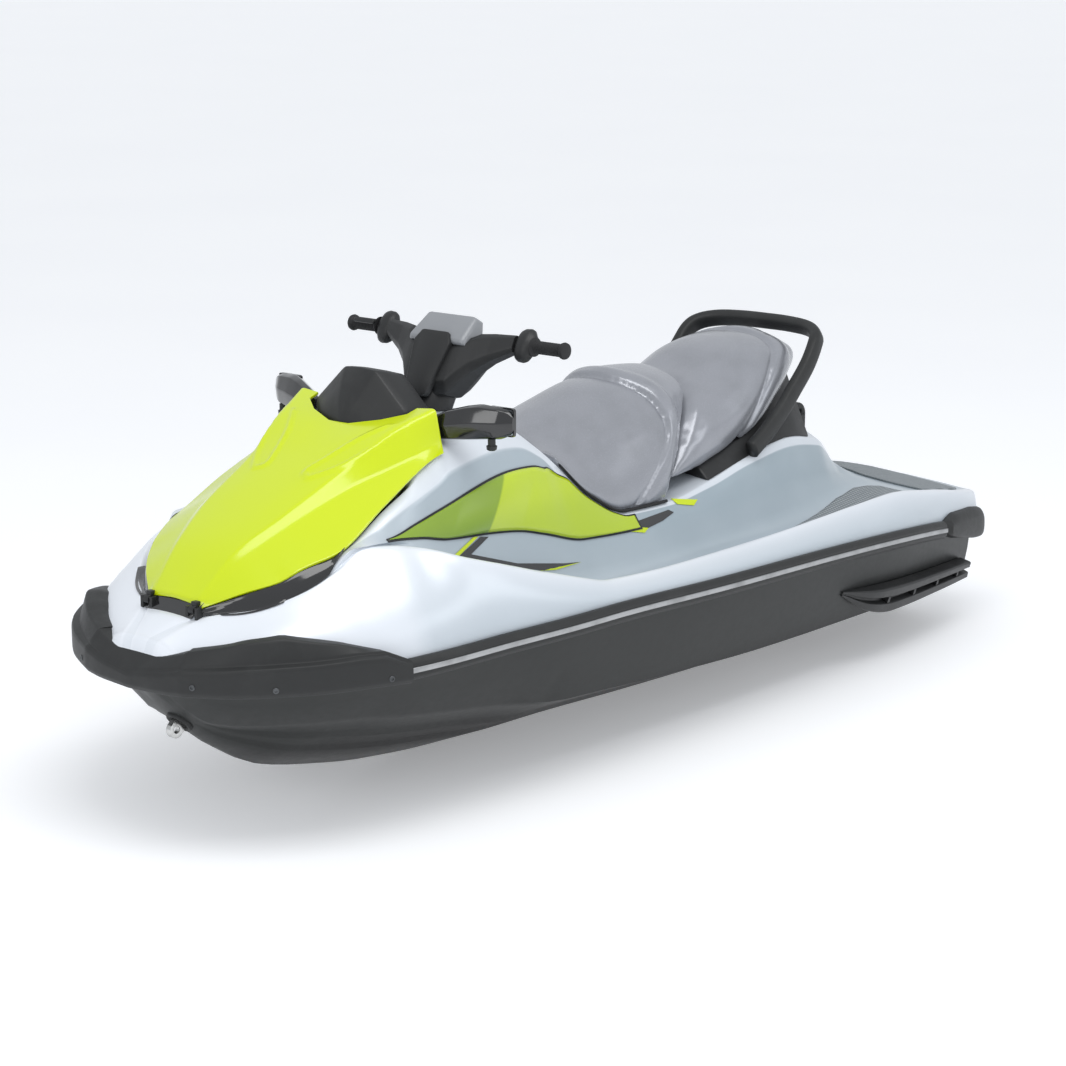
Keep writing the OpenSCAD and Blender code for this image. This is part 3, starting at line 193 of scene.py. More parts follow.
def whole(half):
    """Port half of some sections, edge to centre line, with its starboard image."""
    return np.concatenate([half, (half * [1, -1, 1])[:, -2::-1]], 1)


def rounded(grid, shares, points=5):
    """Sections with each corner eased into an arc that takes a share of the straights beside it."""
    columns = [grid[:, :1]]
    for i in range(1, grid.shape[1] - 1):
        p = grid[:, i]
        a, b = p + (grid[:, i - 1] - p) * shares[i], p + (grid[:, i + 1] - p) * shares[i]
        for t in np.linspace(0, 1, points):
            columns.append(((1 - t) ** 2 * a + 2 * t * (1 - t) * p + t * t * b)[:, None])
    return np.concatenate(columns + [grid[:, -1:]], 1)


# Meshes
def piece(name, mesh, body, finish):
    obj = bpy.data.objects.new(name, mesh)
    scene.collection.objects.link(obj)
    mesh.polygons.foreach_set("use_smooth", [True] * len(mesh.polygons))
    obj.data.materials.append(finish)
    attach(obj, body)
    return obj


def mesh_of(name, points, faces):
    mesh = bpy.data.meshes.new(name)
    mesh.from_pydata([tuple(p) for p in points], [], faces)
    mesh.update()
    return mesh


def grid_faces(rows, columns, closed=False, start=0):
    last = columns if closed else columns - 1
    return [(start + j * columns + i, start + j * columns + (i + 1) % columns,
             start + (j + 1) * columns + (i + 1) % columns, start + (j + 1) * columns + i)
            for j in range(rows - 1) for i in range(last)]


def end_faces(rows, columns, start=0):
    last = start + (rows - 1) * columns
    return [tuple(range(start, start + columns)), tuple(range(last, last + columns))]


def faced_out(mesh):
    """The mesh with its faces turned outwards."""
    b = bmesh.new()
    b.from_mesh(mesh)
    bmesh.ops.recalc_face_normals(b, faces=b.faces)
    b.to_mesh(mesh)
    b.free()
    return mesh


def skin(name, grid, body, finish, closed=False, capped=False):
    """Surface through a grid of points, rows by columns."""
    rows, columns = grid.shape[:2]
    faces = grid_faces(rows, columns, closed)
    if capped:
        faces += end_faces(rows, columns)
    return piece(name, faced_out(mesh_of(name, grid.reshape(-1, 3), faces)), body, finish)


def tone(obj, name, values):
    """A number at each point of a mesh that its finish reads."""
    layer = obj.data.attributes.new(name, "FLOAT", "POINT")
    layer.data.foreach_set("value", np.asarray(values, np.float32).ravel())


def modifier(obj, name, kind, **settings):
    m = obj.modifiers.new(name, kind)
    for key, value in settings.items():
        setattr(m, key, value)
    return m


def thicken(obj, depth):
    return modifier(obj, "wall", "SOLIDIFY", thickness=depth, offset=-1, use_even_offset=True)


def crisp_group():
    """Shading that is smooth over gentle edges and sharp over the others."""
    group = bpy.data.node_groups.new("crisp", "GeometryNodeTree")
    group.interface.new_socket("Geometry", in_out="INPUT", socket_type="NodeSocketGeometry")
    group.interface.new_socket("Geometry", in_out="OUTPUT", socket_type="NodeSocketGeometry")
    new, link = group.nodes.new, group.links.new
    begin, end = new("NodeGroupInput"), new("NodeGroupOutput")
    soft, hard, angle, steep = (new("GeometryNodeSetShadeSmooth"), new("GeometryNodeSetShadeSmooth"),
                                new("GeometryNodeInputMeshEdgeAngle"), new("FunctionNodeCompare"))
    hard.domain = "EDGE"
    hard.inputs["Shade Smooth"].default_value = False
    steep.data_type, steep.operation = "FLOAT", "GREATER_THAN"
    steep.inputs[1].default_value = math.radians(34)
    link(begin.outputs[0], soft.inputs["Geometry"])
    link(soft.outputs[0], hard.inputs["Geometry"])
    link(angle.outputs["Unsigned Angle"], steep.inputs[0])
    link(steep.outputs[0], hard.inputs["Selection"])
    link(hard.outputs[0], end.inputs[0])
    return group


CRISP = crisp_group()


def crisp(obj):
    modifier(obj, "crisp", "NODES", node_group=CRISP)


def ease_edges(obj, width, segments, steeper_than):
    """Rounds the edges that turn by more than some degrees."""
    modifier(obj, "edge", "BEVEL", width=width, segments=segments, limit_method="ANGLE",
             angle_limit=math.radians(steeper_than))


def dress(name, finish, bevel):
    """A CAD node that stays, with its finish, eased edges and shading."""
    obj = nodes[name]
    obj.data.materials.clear()
    obj.data.materials.append(finish)
    modifier(obj, "weld", "WELD", merge_threshold=2e-5)
    if bevel:
        ease_edges(obj, bevel, 3, 30)
    crisp(obj)


def path_points(points, per=8):
    """Catmull-Rom points through a list of points."""
    p = np.asarray(points, float)
    q = np.concatenate([2 * p[:1] - p[1:2], p, 2 * p[-1:] - p[-2:-1]])
    out = []
    for i in range(1, len(q) - 2):
        for t in np.linspace(0, 1, per, endpoint=False):
            a, b, c, d = q[i - 1:i + 3]
            bend, twist = 2 * a - 5 * b + 4 * c - d, 3 * b - a - 3 * c + d
            out.append(.5 * (2 * b + (c - a) * t + bend * t * t + twist * t ** 3))
    return np.array(out + [p[-1]])


def tube(name, points, profile, body, finish, up):
    """A bar along points whose section is a list of pairs, sideways and up."""
    along = np.gradient(points, axis=0)
    along /= np.linalg.norm(along, axis=1, keepdims=True)
    side = np.cross(along, np.asarray(up, float))
    side /= np.maximum(np.linalg.norm(side, axis=1, keepdims=True), 1e-9)
    top = np.cross(side, along)
    grid = points[:, None] + side[:, None] * profile[None, :, :1] + top[:, None] * profile[None, :, 1:]
    return skin(name, grid, body, finish, closed=True, capped=True)


# Finishes: numbers and colours that vary over a surface are written as plain sums
class Share:
    """The output of a shader node; arithmetic on it adds Math nodes."""

    def __init__(self, finish, socket):
        self.finish, self.socket = finish, socket

    def math(self, operation, other=None, swapped=False):
        pair = [self] if other is None else [other, self] if swapped else [self, other]
        return self.finish.add("ShaderNodeMath", {"operation": operation}, dict(enumerate(pair)))

    def __add__(self, other):
        return self.math("ADD", other)

    def __radd__(self, other):
        return self.math("ADD", other)

    def __sub__(self, other):
        return self.math("SUBTRACT", other)

    def __rsub__(self, other):
        return self.math("SUBTRACT", other, True)

    def __mul__(self, other):
        return self.math("MULTIPLY", other)

    def __rmul__(self, other):
        return self.math("MULTIPLY", other)

    def low(self, other):
        return self.math("MINIMUM", other)

    def sine(self):
        return self.math("SINE")

    def over(self, start, end):
        """0 below start, 1 above end, eased between them."""
        sockets = {"Value": self, "From Min": start, "From Max": end, "To Min": 0.0, "To Max": 1.0}
        return self.finish.add("ShaderNodeMapRange", {"interpolation_type": "SMOOTHSTEP"}, sockets)


class Finish:
    """A material: a Principled shader, and the nodes that vary it."""

    def __init__(self, name, colour, roughness, **constants):
        self.material = bpy.data.materials.new(name)
        self.material.use_nodes = True
        self.tree = self.material.node_tree
        self.shader = self.tree.nodes["Principled BSDF"]
        self.shader.inputs["Base Color"].default_value = (*colour, 1)
        self.shader.inputs["Roughness"].default_value = roughness
        self.material.diffuse_color = (*colour, 1)
        for key, value in constants.items():
            self.shader.inputs[key.replace("_", " ")].default_value = value
        self.place = self.add("ShaderNodeTexCoord", {}, {}, "Object")

    def add(self, kind, settings, sockets, out=0):
        """Any node, from its type, its settings and what its sockets take."""
        node = self.tree.nodes.new(kind)
        for key, value in settings.items():
            setattr(node, key, value)
        for key, value in sockets.items():
            if isinstance(value, Share):
                self.tree.links.new(value.socket, node.inputs[key])
            elif isinstance(value, tuple) and node.inputs[key].type == "RGBA" and len(value) == 3:
                node.inputs[key].default_value = (*value, 1)
            else:
                node.inputs[key].default_value = value
        return Share(self, node.outputs[out])

    def axes(self):
        """Object x, y and z as numbers."""
        node = self.add("ShaderNodeSeparateXYZ", {}, {0: self.place}).socket.node
        return [Share(self, s) for s in node.outputs]

    def stretched(self, x, y, z):
        return self.add("ShaderNodeVectorMath", {"operation": "MULTIPLY"}, {0: self.place, 1: (x, y, z)})

    def noise(self, scale, detail=3.0, rough=.55, at=None):
        sockets = {"Vector": at or self.place, "Scale": scale, "Detail": detail, "Roughness": rough}
        return self.add("ShaderNodeTexNoise", {}, sockets)

    def cells(self, scale, feature="F1"):
        sockets = {"Vector": self.place, "Scale": scale}
        return self.add("ShaderNodeTexVoronoi", {"feature": feature}, sockets, "Distance")

    def mark(self, name):
        return self.add("ShaderNodeAttribute", {"attribute_name": name}, {}, "Fac")

    def mix(self, share, a, b):
        """Colour a, turning to colour b as share goes to 1."""
        return self.add("ShaderNodeMix", {"data_type": "RGBA"}, {0: share, 6: a, 7: b}, 2)

    def colour(self, value):
        self.to("Base Color", value)

    def rough(self, value):
        self.to("Roughness", value)

    def to(self, socket, value):
        self.tree.links.new(value.socket, self.shader.inputs[socket])

    def bump(self, height, depth, strength):
        sockets = {"Height": height, "Distance": depth, "Strength": strength}
        self.to("Normal", self.add("ShaderNodeBump", {}, sockets))

    def orange_peel(self):
        """The faint ripple of sprayed gelcoat."""
        self.bump(self.noise(430, 1), .00012, .3)


def gelcoat(name, colour, shade, rough=.16, coat=.6):
    """Sprayed gelcoat: faint orange peel, slight unevenness of tone, light haze in the gloss."""
    f = Finish(name, colour, rough, Coat_Weight=coat, Coat_Roughness=.06, Specular_IOR_Level=.5)
    f.colour(f.mix(f.noise(2.2, 4).over(.35, .75), colour, shade))
    f.rough(f.noise(38, 2) * .05 + (rough - .02))
    f.bump(f.noise(420, 1), .00012, .35)
    return f


def moulded(name, colour, rough, grain=900.0, deep=.00018):
    """Moulded plastic: fine leathery grain, paler where it is rubbed."""
    f = Finish(name, colour, rough, Specular_IOR_Level=.42)
    wear = f.noise(7, 5, .6).over(.5, .78)
    f.colour(f.mix(wear * .5, colour, tuple(min(1, c * 1.55 + .008) for c in colour)))
    f.rough(f.noise(60, 3) * .14 + (rough - .06))
    f.bump(f.cells(grain) * .6 + f.noise(grain * .4, 2) * .5, deep, .7)
    return f


def metal(name, colour, rough, brush=(1, 1, 1)):
    """Cast or drawn metal with a faint direction in its surface."""
    f = Finish(name, colour, rough, Metallic=1.0)
    lines = f.noise(160, 4, .6, f.stretched(*brush))
    f.colour(f.mix(f.noise(14, 4).over(.4, .75), colour, tuple(c * .72 for c in colour)))
    f.rough(lines * .2 + (rough - .08))
    f.bump(lines, .0002, .5)
    return f


def deck_finish():
    """White gelcoat that turns to a silver blue in the footwells and towards the stern, partly its own
    two-tone and partly painted shade: the crest kept white as if lit, the rail, flanks and fairing facet
    silver blue as if shaded.
    """
    f = Finish("deck gelcoat", (.80, .84, .88), .3, Coat_Weight=.4, Coat_Roughness=.24, Metallic=.12)
    white, silver = (.82, .85, .90), (.335, .405, .45)
    # Painted shade and two-tone together: the 'silver' mark mixes the white towards silver blue
    f.colour(f.mix(f.mark("silver"), white, f.mix(f.noise(3, 4).over(.4, .7), silver, (.37, .44, .485))))
    f.rough(f.noise(40, 2) * .05 + .28)
    f.orange_peel()
    return f.material


def lime_finish():
    """Lime gelcoat of the hood and the painted flashes."""
    f = Finish("lime gelcoat", (.58, .70, .005), .2, Coat_Weight=.35, Coat_Roughness=.1,
               Specular_IOR_Level=.4)
    f.colour(f.mix(f.noise(2.5, 3).over(.35, .75), (.585, .705, .003), (.575, .70, .004)))
    f.rough(f.noise(40, 2) * .06 + .18)
    f.orange_peel()
    return f.material


# The fold across a side panel: x plus a share of z is one value along it
FOLD_AT, FOLD_LEAN = .956, .84


def panel_finish():
    """Lime gelcoat with painted shade: olive ahead of the fold, where the front facet turns from the light,
    and deeper where the panel turns under.
    """
    f = Finish("lime panel", (.50, .64, .02), .24, Coat_Weight=.5, Coat_Roughness=.12)
    x, y, z = f.axes()
    # Painted shade: darker ahead of the fold and at the foot, as if turned away from the light
    forward = (x + z * FOLD_LEAN).over(FOLD_AT - .006, FOLD_AT + .006)
    under = 1 - z.over(.36, .44)
    f.colour(f.mix((forward * .85 + under * .2).low(1), (.49, .63, .007), (.19, .32, .014)))
    f.rough(f.noise(40, 2) * .06 + .2)
    f.orange_peel()
    return f.material


def vinyl_finish():
    """Marine vinyl: fine pebbled grain with a soft metallic sheen."""
    f = Finish("seat vinyl", (.30, .31, .335), .3, Coat_Weight=.25, Coat_Roughness=.2, Specular_IOR_Level=.6,
               Metallic=.35)
    grain = f.cells(900, "SMOOTH_F1") * .7 + f.noise(1500, 2) * .4
    f.colour(f.mix(f.noise(9, 4).over(.35, .75), (.32, .33, .36), (.285, .295, .32)))
    f.rough(grain * .08 + .22)
    f.bump(grain, .00012, .3)
    return f.material


def mat_finish():
    """Traction mat: rows of small diamond studs cut by grooves, with painted shade darkening the grooves."""
    f = Finish("traction mat", (.30, .325, .34), .7, Specular_IOR_Level=.3)
    x, y, z = f.axes()
    across = ((x + y) * 280).sine() * ((x - y) * 280).sine()
    studs = across.over(-.15, .55)
    head = f.mix(f.noise(30, 4).over(.4, .7), (.44, .47, .49), (.39, .42, .44))
    # Painted shade: the grooves are coloured dark as if in shade, the stud heads pale
    f.colour(f.mix(studs, (.17, .19, .20), head))
    f.rough(f.noise(80, 3) * .2 + .6)
    f.bump(studs + f.noise(700, 2) * .15, .0016, .9)
    return f.material


def hull_finish():
    """Charcoal hull: satin moulded skin with fine run marks low down, and painted shade that turns it near
    black low down where it turns under.
    """
    f = Finish("charcoal hull", (.02, .021, .0205), .4, Coat_Weight=.04, Specular_IOR_Level=.24)
    x, y, z = f.axes()
    runs = f.noise(30, 5, .65, f.stretched(.6, 1, 6)).over(.55, .8)
    # Painted shade: near black low on the hull as if in shade, charcoal above
    shell_shaded_low = f.mix(z.over(-.16, -.06), (.007, .0074, .0074), (.019, .0205, .020))
    f.colour(f.mix(runs * (1 - z.over(-.2, .05)) * .5, shell_shaded_low, (.030, .032, .031)))
    f.rough(f.noise(50, 4) * .12 + .34)
    f.bump(f.noise(320, 2), .00016, .4)
    return f.material


DECK_WHITE = deck_finish()
LIME = lime_finish()
LIME_PANEL = panel_finish()
VINYL = vinyl_finish()
MAT = mat_finish()
CHARCOAL = hull_finish()
BLACK = moulded("black moulding", (.017, .0175, .018), .42).material
BUMPER = moulded("bumper rubber", (.018, .0188, .0188), .5, 700, .00025).material
GLOSS = gelcoat("black gloss", (.008, .008, .009), (.014, .014, .015), .12, .7).material
RUBBER = moulded("grip rubber", (.014, .014, .015), .62, 500, .0003).material
STRIPE = metal("silver stripe", (.42, .425, .43), .34, (.05, 1, 1)).material
SILVER = gelcoat("silver pad", (.25, .26, .275), (.21, .22, .235), .35, .3).material
ALLOY = metal("cast alloy", (.34, .345, .355), .42).material
DARK_ALLOY = metal("coated alloy", (.12, .125, .13), .45).material
STEEL = metal("stainless steel", (.62, .62, .61), .22, (1, 1, .1)).material
ENGINE = moulded("engine casting", (.05, .05, .055), .5, 300, .0006).material


def glass_finish():
    f = Finish("mirror glass", (.75, .80, .84), .05, Metallic=1.0)
    f.rough(f.noise(12, 3) * .06 + .02)
    return f.material


def display_finish():
    f = Finish("display", (.006, .009, .012), .12, Coat_Weight=.6)
    f.rough(f.noise(30, 3) * .08 + .08)
    return f.material


MIRROR, DISPLAY = glass_finish(), display_finish()


# Deck: one moulding from bow to stern, its crest eased inboard beside the hood
CREST_EASE, CREST_DROP = np.array([-.036, -.034, -.012]), .008


def deck_half(n):
    """Port half of the deck's sections, with the crease of the fairing beside the hood."""
    lines = [line(t, n) for t in DECK]
    near = step(np.interp(n, [8.8, 10.3, 11.2, 12.2], [0, 1, 1, 0]))[:, None]
    for i, share in ((2, 1), (3, 1), (4, .8), (5, .5)):
        lines[i] = lines[i] + near * share * CREST_EASE
    for i in (2, 3):
        lines[i][:, 2] -= CREST_DROP * step(np.interp(n, [4.5, 6.5, 8.6, 9.8], [0, 1, 1, 0]))
    low, high = lines[7], lines[8]
    out = np.stack([np.zeros(len(n)), high[:, 2] - low[:, 2], low[:, 1] - high[:, 1]], -1)
    out /= np.maximum(np.linalg.norm(out, axis=1, keepdims=True), 1e-9)
    stand = np.interp(n, [4.6, 5.6, 8.5, 10.4], [0, .015, .013, 0])
    return np.stack(lines[:8] + [low * .5 + high * .5 + out * stand[:, None]] + lines[8:], 1)


def deck_grid(n, shares=(0, .48, .34, .4, .35, .35, .3, .12, .2, .15, .45, .5)):
    full = list(shares) + list(shares)[-2::-1]
    return rounded(whole(deck_half(n)), full)


def deck_lines(grid):
    """The line of the sections, counted from the rail, that each column of a deck grid lies on."""
    return 11 * (1 - np.abs(np.linspace(-1, 1, grid.shape[1])))


def make_deck():
    n = np.concatenate([np.arange(-16.3, 8, .14), np.arange(8, 9.6, .05), np.arange(9.6, 15.3, .1), [15.3]])
    grid = deck_grid(n)
    bow, stern = [], []
    for t in (.45, .8, 1.0):
        ease = 1 - t * t
        nose = grid[-1].copy()
        nose[:, 0] += .022 * t
        nose[:, 1] *= 1 - .12 * t * t
        nose[:, 2] = grid[-1][0, 2] + (nose[:, 2] - grid[-1][0, 2]) * (.45 + .55 * ease)
        bow.append(nose)
        tail = grid[0].copy()
        tail[:, 0] -= .016 * t
        tail[:, 1] *= 1 - .03 * t * t
        tail[:, 2] = grid[0][0, 2] + (tail[:, 2] - grid[0][0, 2]) * (.72 + .28 * ease)
        stern.insert(0, tail)
    rows = np.concatenate([np.array(stern), grid, np.array(bow)])
    deck = skin("deck_moulding", rows, "boat", DECK_WHITE, capped=True)
    # The 'silver' mark is painted shade as well as the two-tone: low on the crest where light falls, high on
    # the rail, flanks and fairing facet, less towards the bow
    side = np.interp(deck_lines(rows), [0, .8, 1.5, 2.2, 2.8, 3.4, 6, 7.8, 8.1, 9, 10, 11],
                     [.8, .55, .3, .04, .12, .75, 1, 1, .3, .25, .55, .55])
    along = np.interp(rows[:, :, 0] / STATION, [-16, -2, 3, 8.5, 10.4, 11, 12.5],
                      [1, 1, .92, .86, .72, .35, .16])
    tone(deck, "silver", side * along)
    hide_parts("deck", "deck_sides")
    return deck


deck = make_deck()


def tree_of(obj):
    bpy.context.view_layer.update()
    return BVHTree.FromObject(obj, bpy.context.evaluated_depsgraph_get())


deck_tree = tree_of(deck)


def lifted(grid, lift):
    """A grid moved out along its own normals, on the side that looks up."""
    out = np.cross(np.gradient(grid, axis=1), np.gradient(grid, axis=0))
    out /= np.maximum(np.linalg.norm(out, axis=2, keepdims=True), 1e-9)
    out *= np.sign(out[..., 2].mean()) or 1
    return grid + out * lift


def skin_between(low, high, lift, inset=0.0, columns=9):
    """Skin stretched between two lines of points, lifted off what carries it, its long edges drawn in."""
    run = high - low
    run /= np.maximum(np.linalg.norm(run, axis=1, keepdims=True), 1e-9)
    low, high = low + run * inset, high - run * inset
    return lifted(low[:, None] + (high - low)[:, None] * np.linspace(0, 1, columns)[None, :, None], lift)


def laid(low, high, lift, columns):
    """Skin between two lines of points that also clears the deck where that bulges."""
    flat = skin_between(low, high, 0, columns=columns)
    out = skin_between(low, high, 1, columns=columns) - flat
    for i in np.ndindex(flat.shape[:2]):
        hit, _, _, _ = deck_tree.ray_cast(Vector(flat[i] + out[i] * .05), Vector(-out[i]), .05)
        flat[i] = (flat[i] if hit is None else np.array(hit)) + out[i] * lift
    return flat


def both_sides(name, grid, body, finish, wall):
    """A skin and its starboard image as one piece with a wall."""
    rows, columns = grid.shape[:2]
    points = np.concatenate([grid.reshape(-1, 3), grid.reshape(-1, 3) * [1, -1, 1]])
    faces = grid_faces(rows, columns)
    other = [f[::-1] for f in grid_faces(rows, columns, start=rows * columns)]
    mesh = mesh_of(name, points, faces + other)
    if mesh.polygons[len(faces) // 2].normal.z < 0:
        mesh.flip_normals()
    obj = piece(name, mesh, body, finish)
    thicken(obj, wall)
    return obj


def port_and_starboard(name, grids, body, finish, capped=True):
    """Closed lofts and their starboard images as one piece."""
    points, faces = [], []
    for grid in grids:
        rows, columns = grid.shape[:2]
        for side in (1, -1):
            start = sum(len(q) for q in points)
            points.append((grid * [1, side, 1]).reshape(-1, 3))
            faces += grid_faces(rows, columns, True, start)
            if capped:
                faces += end_faces(rows, columns, start)
    obj = piece(name, faced_out(mesh_of(name, np.concatenate(points), faces)), body, finish)
    crisp(obj)
    return obj


def eased_ring(points, share, steps):
    """A closed outline with eased corners."""
    p = np.asarray(points, float)
    out = []
    for i in range(len(p)):
        a, b = p[i] + (p[i - 1] - p[i]) * share, p[i] + (p[(i + 1) % len(p)] - p[i]) * share
        out += [(1 - t) ** 2 * a + 2 * t * (1 - t) * p[i] + t * t * b for t in np.linspace(0, 1, steps)]
    return np.array(out)


def oval(count, power):
    """A ring of points that is squarer the higher its power."""
    a = np.linspace(0, 2 * math.pi, count, endpoint=False)
    return np.stack([np.sign(np.cos(a)) * np.abs(np.cos(a)) ** (2 / power),
                     np.sign(np.sin(a)) * np.abs(np.sin(a)) ** (2 / power)], -1)


def lathe_grid(at, axis, outline, count):
    """Rings round an axis, from pairs of place along it and radius."""
    axis = np.asarray(axis, float) / np.linalg.norm(axis)
    one = np.cross(axis, (0, 0, 1) if abs(axis[2]) < .9 else (1, 0, 0))
    one /= np.linalg.norm(one)
    two = np.cross(axis, one)
    a = np.linspace(0, 2 * math.pi, count, endpoint=False)
    ring = np.cos(a)[:, None] * one + np.sin(a)[:, None] * two
    return np.array([np.asarray(at) + axis * s + ring * r for s, r in outline])


# Thin skins: how far each stands off what carries it, its wall, and how far its long edges are drawn in
LINER_LIFT, LINER_WALL = .004, .003
SEAL_LIFT, SEAL_WALL = .0032, .004
PANEL_LIFT, PANEL_WALL, PANEL_INSET = .0055, .003, .005
BAND_LIFT, BAND_WALL = .006, .003
MAT_LIFT, MAT_WALL, MAT_INSET = .006, .005, .004
HOOD_WALL = .007


def make_liner():
    """Black liner moulded to the bin under the hood."""
    grid = deck_grid(np.concatenate([np.arange(8.75, 9.6, .05), np.arange(9.6, 13.5, .1)]))
    within = deck_lines(grid) > 9.1
    liner = skin("bin_liner", lifted(grid[:, within], LINER_LIFT), "boat", BLACK)
    thicken(liner, LINER_WALL)
    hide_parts("storage_liner")


make_liner()


# Lime panels beside the saddle, each on a black seal: the top edge follows the saddle's foot
def panel_lines(n):
    meet = np.interp(n, [0, .4, 1.6, 2.3, 2.9, 3.4], [.5, .8, .85, .8, .35, 0])[:, None]
    low, high = line(BASE, n), line(PANEL, n)
    return low, high + (line(LEDGE, n) - high) * meet


# Height of the ridge along a panel's fold, and how far it reaches to each side
RIDGE_HIGH, RIDGE_REACH = .010, .16


def make_panels():
    seal = skin_between(*panel_lines(np.arange(-.35, 10.3, .1)), SEAL_LIFT)
    both_sides("panel_seals", seal, "boat", BLACK, SEAL_WALL)
    columns = 15
    grid = skin_between(*panel_lines(np.arange(-.26, 10.2, .05)), PANEL_LIFT, PANEL_INSET, columns)
    from_fold = np.abs(grid[..., 0] + FOLD_LEAN * grid[..., 2] - FOLD_AT)
    across = np.sin(np.linspace(0, math.pi, columns)) ** .6
    grid[..., 1] += RIDGE_HIGH * np.clip(1 - from_fold / RIDGE_REACH, 0, 1) * across
    panel = both_sides("panel_skins", grid, "boat", LIME_PANEL, PANEL_WALL)
    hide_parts("side_panels")


make_panels()


def make_cowl_band():
    """Black band under the hood's edge, running out where the fairing begins, and across the front; its black
    is partly the trim's own and partly painted shade for the recessed gap there.
    """
    n = np.arange(11.1, 14.36, .08)
    reach = np.interp(n, [11.1, 11.5, 11.9], [0.05, .6, 1])[:, None]
    high = line(LEDGE, n) + [0, -.004, .004]
    low = high + (line(BASE, n) - high) * reach
    # Painted shade in part: the gloss black band stands for the shadowed gap under the hood's edge
    both_sides("cowl_band", laid(low, high, BAND_LIFT, 13), "boat", GLOSS, BAND_WALL)
    low, high = line(BASE, [14.42])[0], line(LEDGE, [14.12])[0] + [0, 0, .016]
    sweep = np.linspace(-1, 1, 15)[:, None] * [0, 1, 0] + [1, 0, 1]
    front = skin("cowl_band_front", skin_between(low * sweep, high * sweep, BAND_LIFT), "boat", GLOSS)
    thicken(front, BAND_WALL)


make_cowl_band()


# Hood, with the outline of the hollow on its port shoulder
TEAR = np.array([[.844, .169], [.914, .120], [.996, .084], [1.038, .070], [1.054, .086], [1.051, .104],
                 [.999, .146], [.923, .188], [.833, .217]])


def make_hood():
    notch_end = NOTCH[-1][0]
    n = np.concatenate([np.arange(7.45, notch_end, .05), np.arange(notch_end, 14.2, .06), [14.2]])
    half = np.stack([line(t, n) for t in HOOD], 1)
    lip = [half[-1] * [1, .95, 1] + [.003, 0, -.004], half[-1] * [1, .91, 1] + [.004, 0, -.013]]
    n, half = np.concatenate([n, [14.23, 14.24]]), np.concatenate([half, lip])
    eased = rounded(whole(half), [0, .12, .16, .42, .5, .42, .16, .12, 0], 7)
    eased = eased[:, :eased.shape[1] // 2 + 1]
    rim = np.interp(n, [q[0] for q in NOTCH] + [14.2], [q[1] * HALF for q in NOTCH] + [.055 * HALF])
    outer, inner = [], []
    for row, stop in zip(eased, rim):
        reach = np.concatenate([[0], np.cumsum(np.linalg.norm(np.diff(row, axis=0), axis=1))])
        end = np.interp(-stop, -row[:, 1], reach)
        pick = lambda s: np.stack([np.interp(s, reach, row[:, k]) for k in range(3)], -1)
        outer.append(pick(np.linspace(0, end, 60)))
        inner.append(pick(np.linspace(end, reach[-1], 10)))
    outer, inner = np.array(outer), np.array(inner)
    # Shallow drop-shaped hollow on each shoulder, its rim open towards the stern
    loop = path_points(TEAR, 12)
    for g in (outer, inner):
        flat = g[..., :2].reshape(-1, 2)
        gap = np.min(np.linalg.norm(flat[:, None] - loop[None, :, :2], axis=2), 1).reshape(g.shape[:2])
        g[..., 2] += .006 * np.exp(-(gap / .0065) ** 2) * np.clip((g[..., 0] - .76) / .12, 0, 1)
    start = int(np.searchsorted(n, notch_end - 1e-6))
    points, faces = [], []
    for side in (1, -1):
        for grid in (outer, inner[start:]):
            base = sum(len(q) for q in points)
            points.append((grid * [1, side, 1]).reshape(-1, 3))
            faces += grid_faces(*grid.shape[:2], start=base)
    mesh = mesh_of("hood_skin", np.concatenate(points), faces)
    b = bmesh.new()
    b.from_mesh(mesh)
    bmesh.ops.remove_doubles(b, verts=b.verts, dist=1e-4)
    bmesh.ops.recalc_face_normals(b, faces=b.faces)
    if sum(f.normal.z for f in b.faces) < 0:
        bmesh.ops.reverse_faces(b, faces=b.faces)
    b.to_mesh(mesh)
    b.free()
    hood = piece("hood_skin", mesh, "hood", LIME)
    thicken(hood, HOOD_WALL)
    ease_edges(hood, .0022, 2, 50)
    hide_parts("hood")


make_hood()


# Saddle: two pads, swelled by a cloth run
def seat_form(name, sections, low):
    """Closed smooth body through half sections, with its bottom."""
    ease = [0] + [.42] * (2 * sections.shape[1] - 3) + [0]
    across = np.linspace(0, 1, 9)[1:-1, None]
    rows = []
    for top, under in zip(rounded(whole(sections), ease), low):
        other = under * [1, -1, 1]
        rows.append(np.concatenate([top, other + (under - other) * across]))
    grid = np.array(rows)
    faces = grid_faces(*grid.shape[:2], closed=True) + end_faces(*grid.shape[:2])
    return mesh_of(name, grid.reshape(-1, 3), faces)


def cut(mesh, at, normal):
    """Keeps what lies ahead of a plane, closed again."""
    b = bmesh.new()
    b.from_mesh(mesh)
    bmesh.ops.recalc_face_normals(b, faces=b.faces)
    r = bmesh.ops.bisect_plane(b, geom=b.verts[:] + b.edges[:] + b.faces[:], dist=1e-5, plane_co=at,
                               plane_no=normal, clear_inner=True)
    edges = [e for e in r["geom_cut"] if isinstance(e, bmesh.types.BMEdge)]
    bmesh.ops.holes_fill(b, edges=edges)
    bmesh.ops.recalc_face_normals(b, faces=b.faces)
    b.to_mesh(mesh)
    b.free()


def apply(obj):
    """The object's mesh as its modifiers leave it, with no modifiers on it."""
    made = bpy.data.meshes.new_from_object(obj.evaluated_get(bpy.context.evaluated_depsgraph_get()))
    obj.modifiers.clear()
    obj.data = made


def smooth(obj, turns):
    modifier(obj, "ease", "SMOOTH", factor=.5, iterations=turns)
    bpy.context.view_layer.update()
    apply(obj)


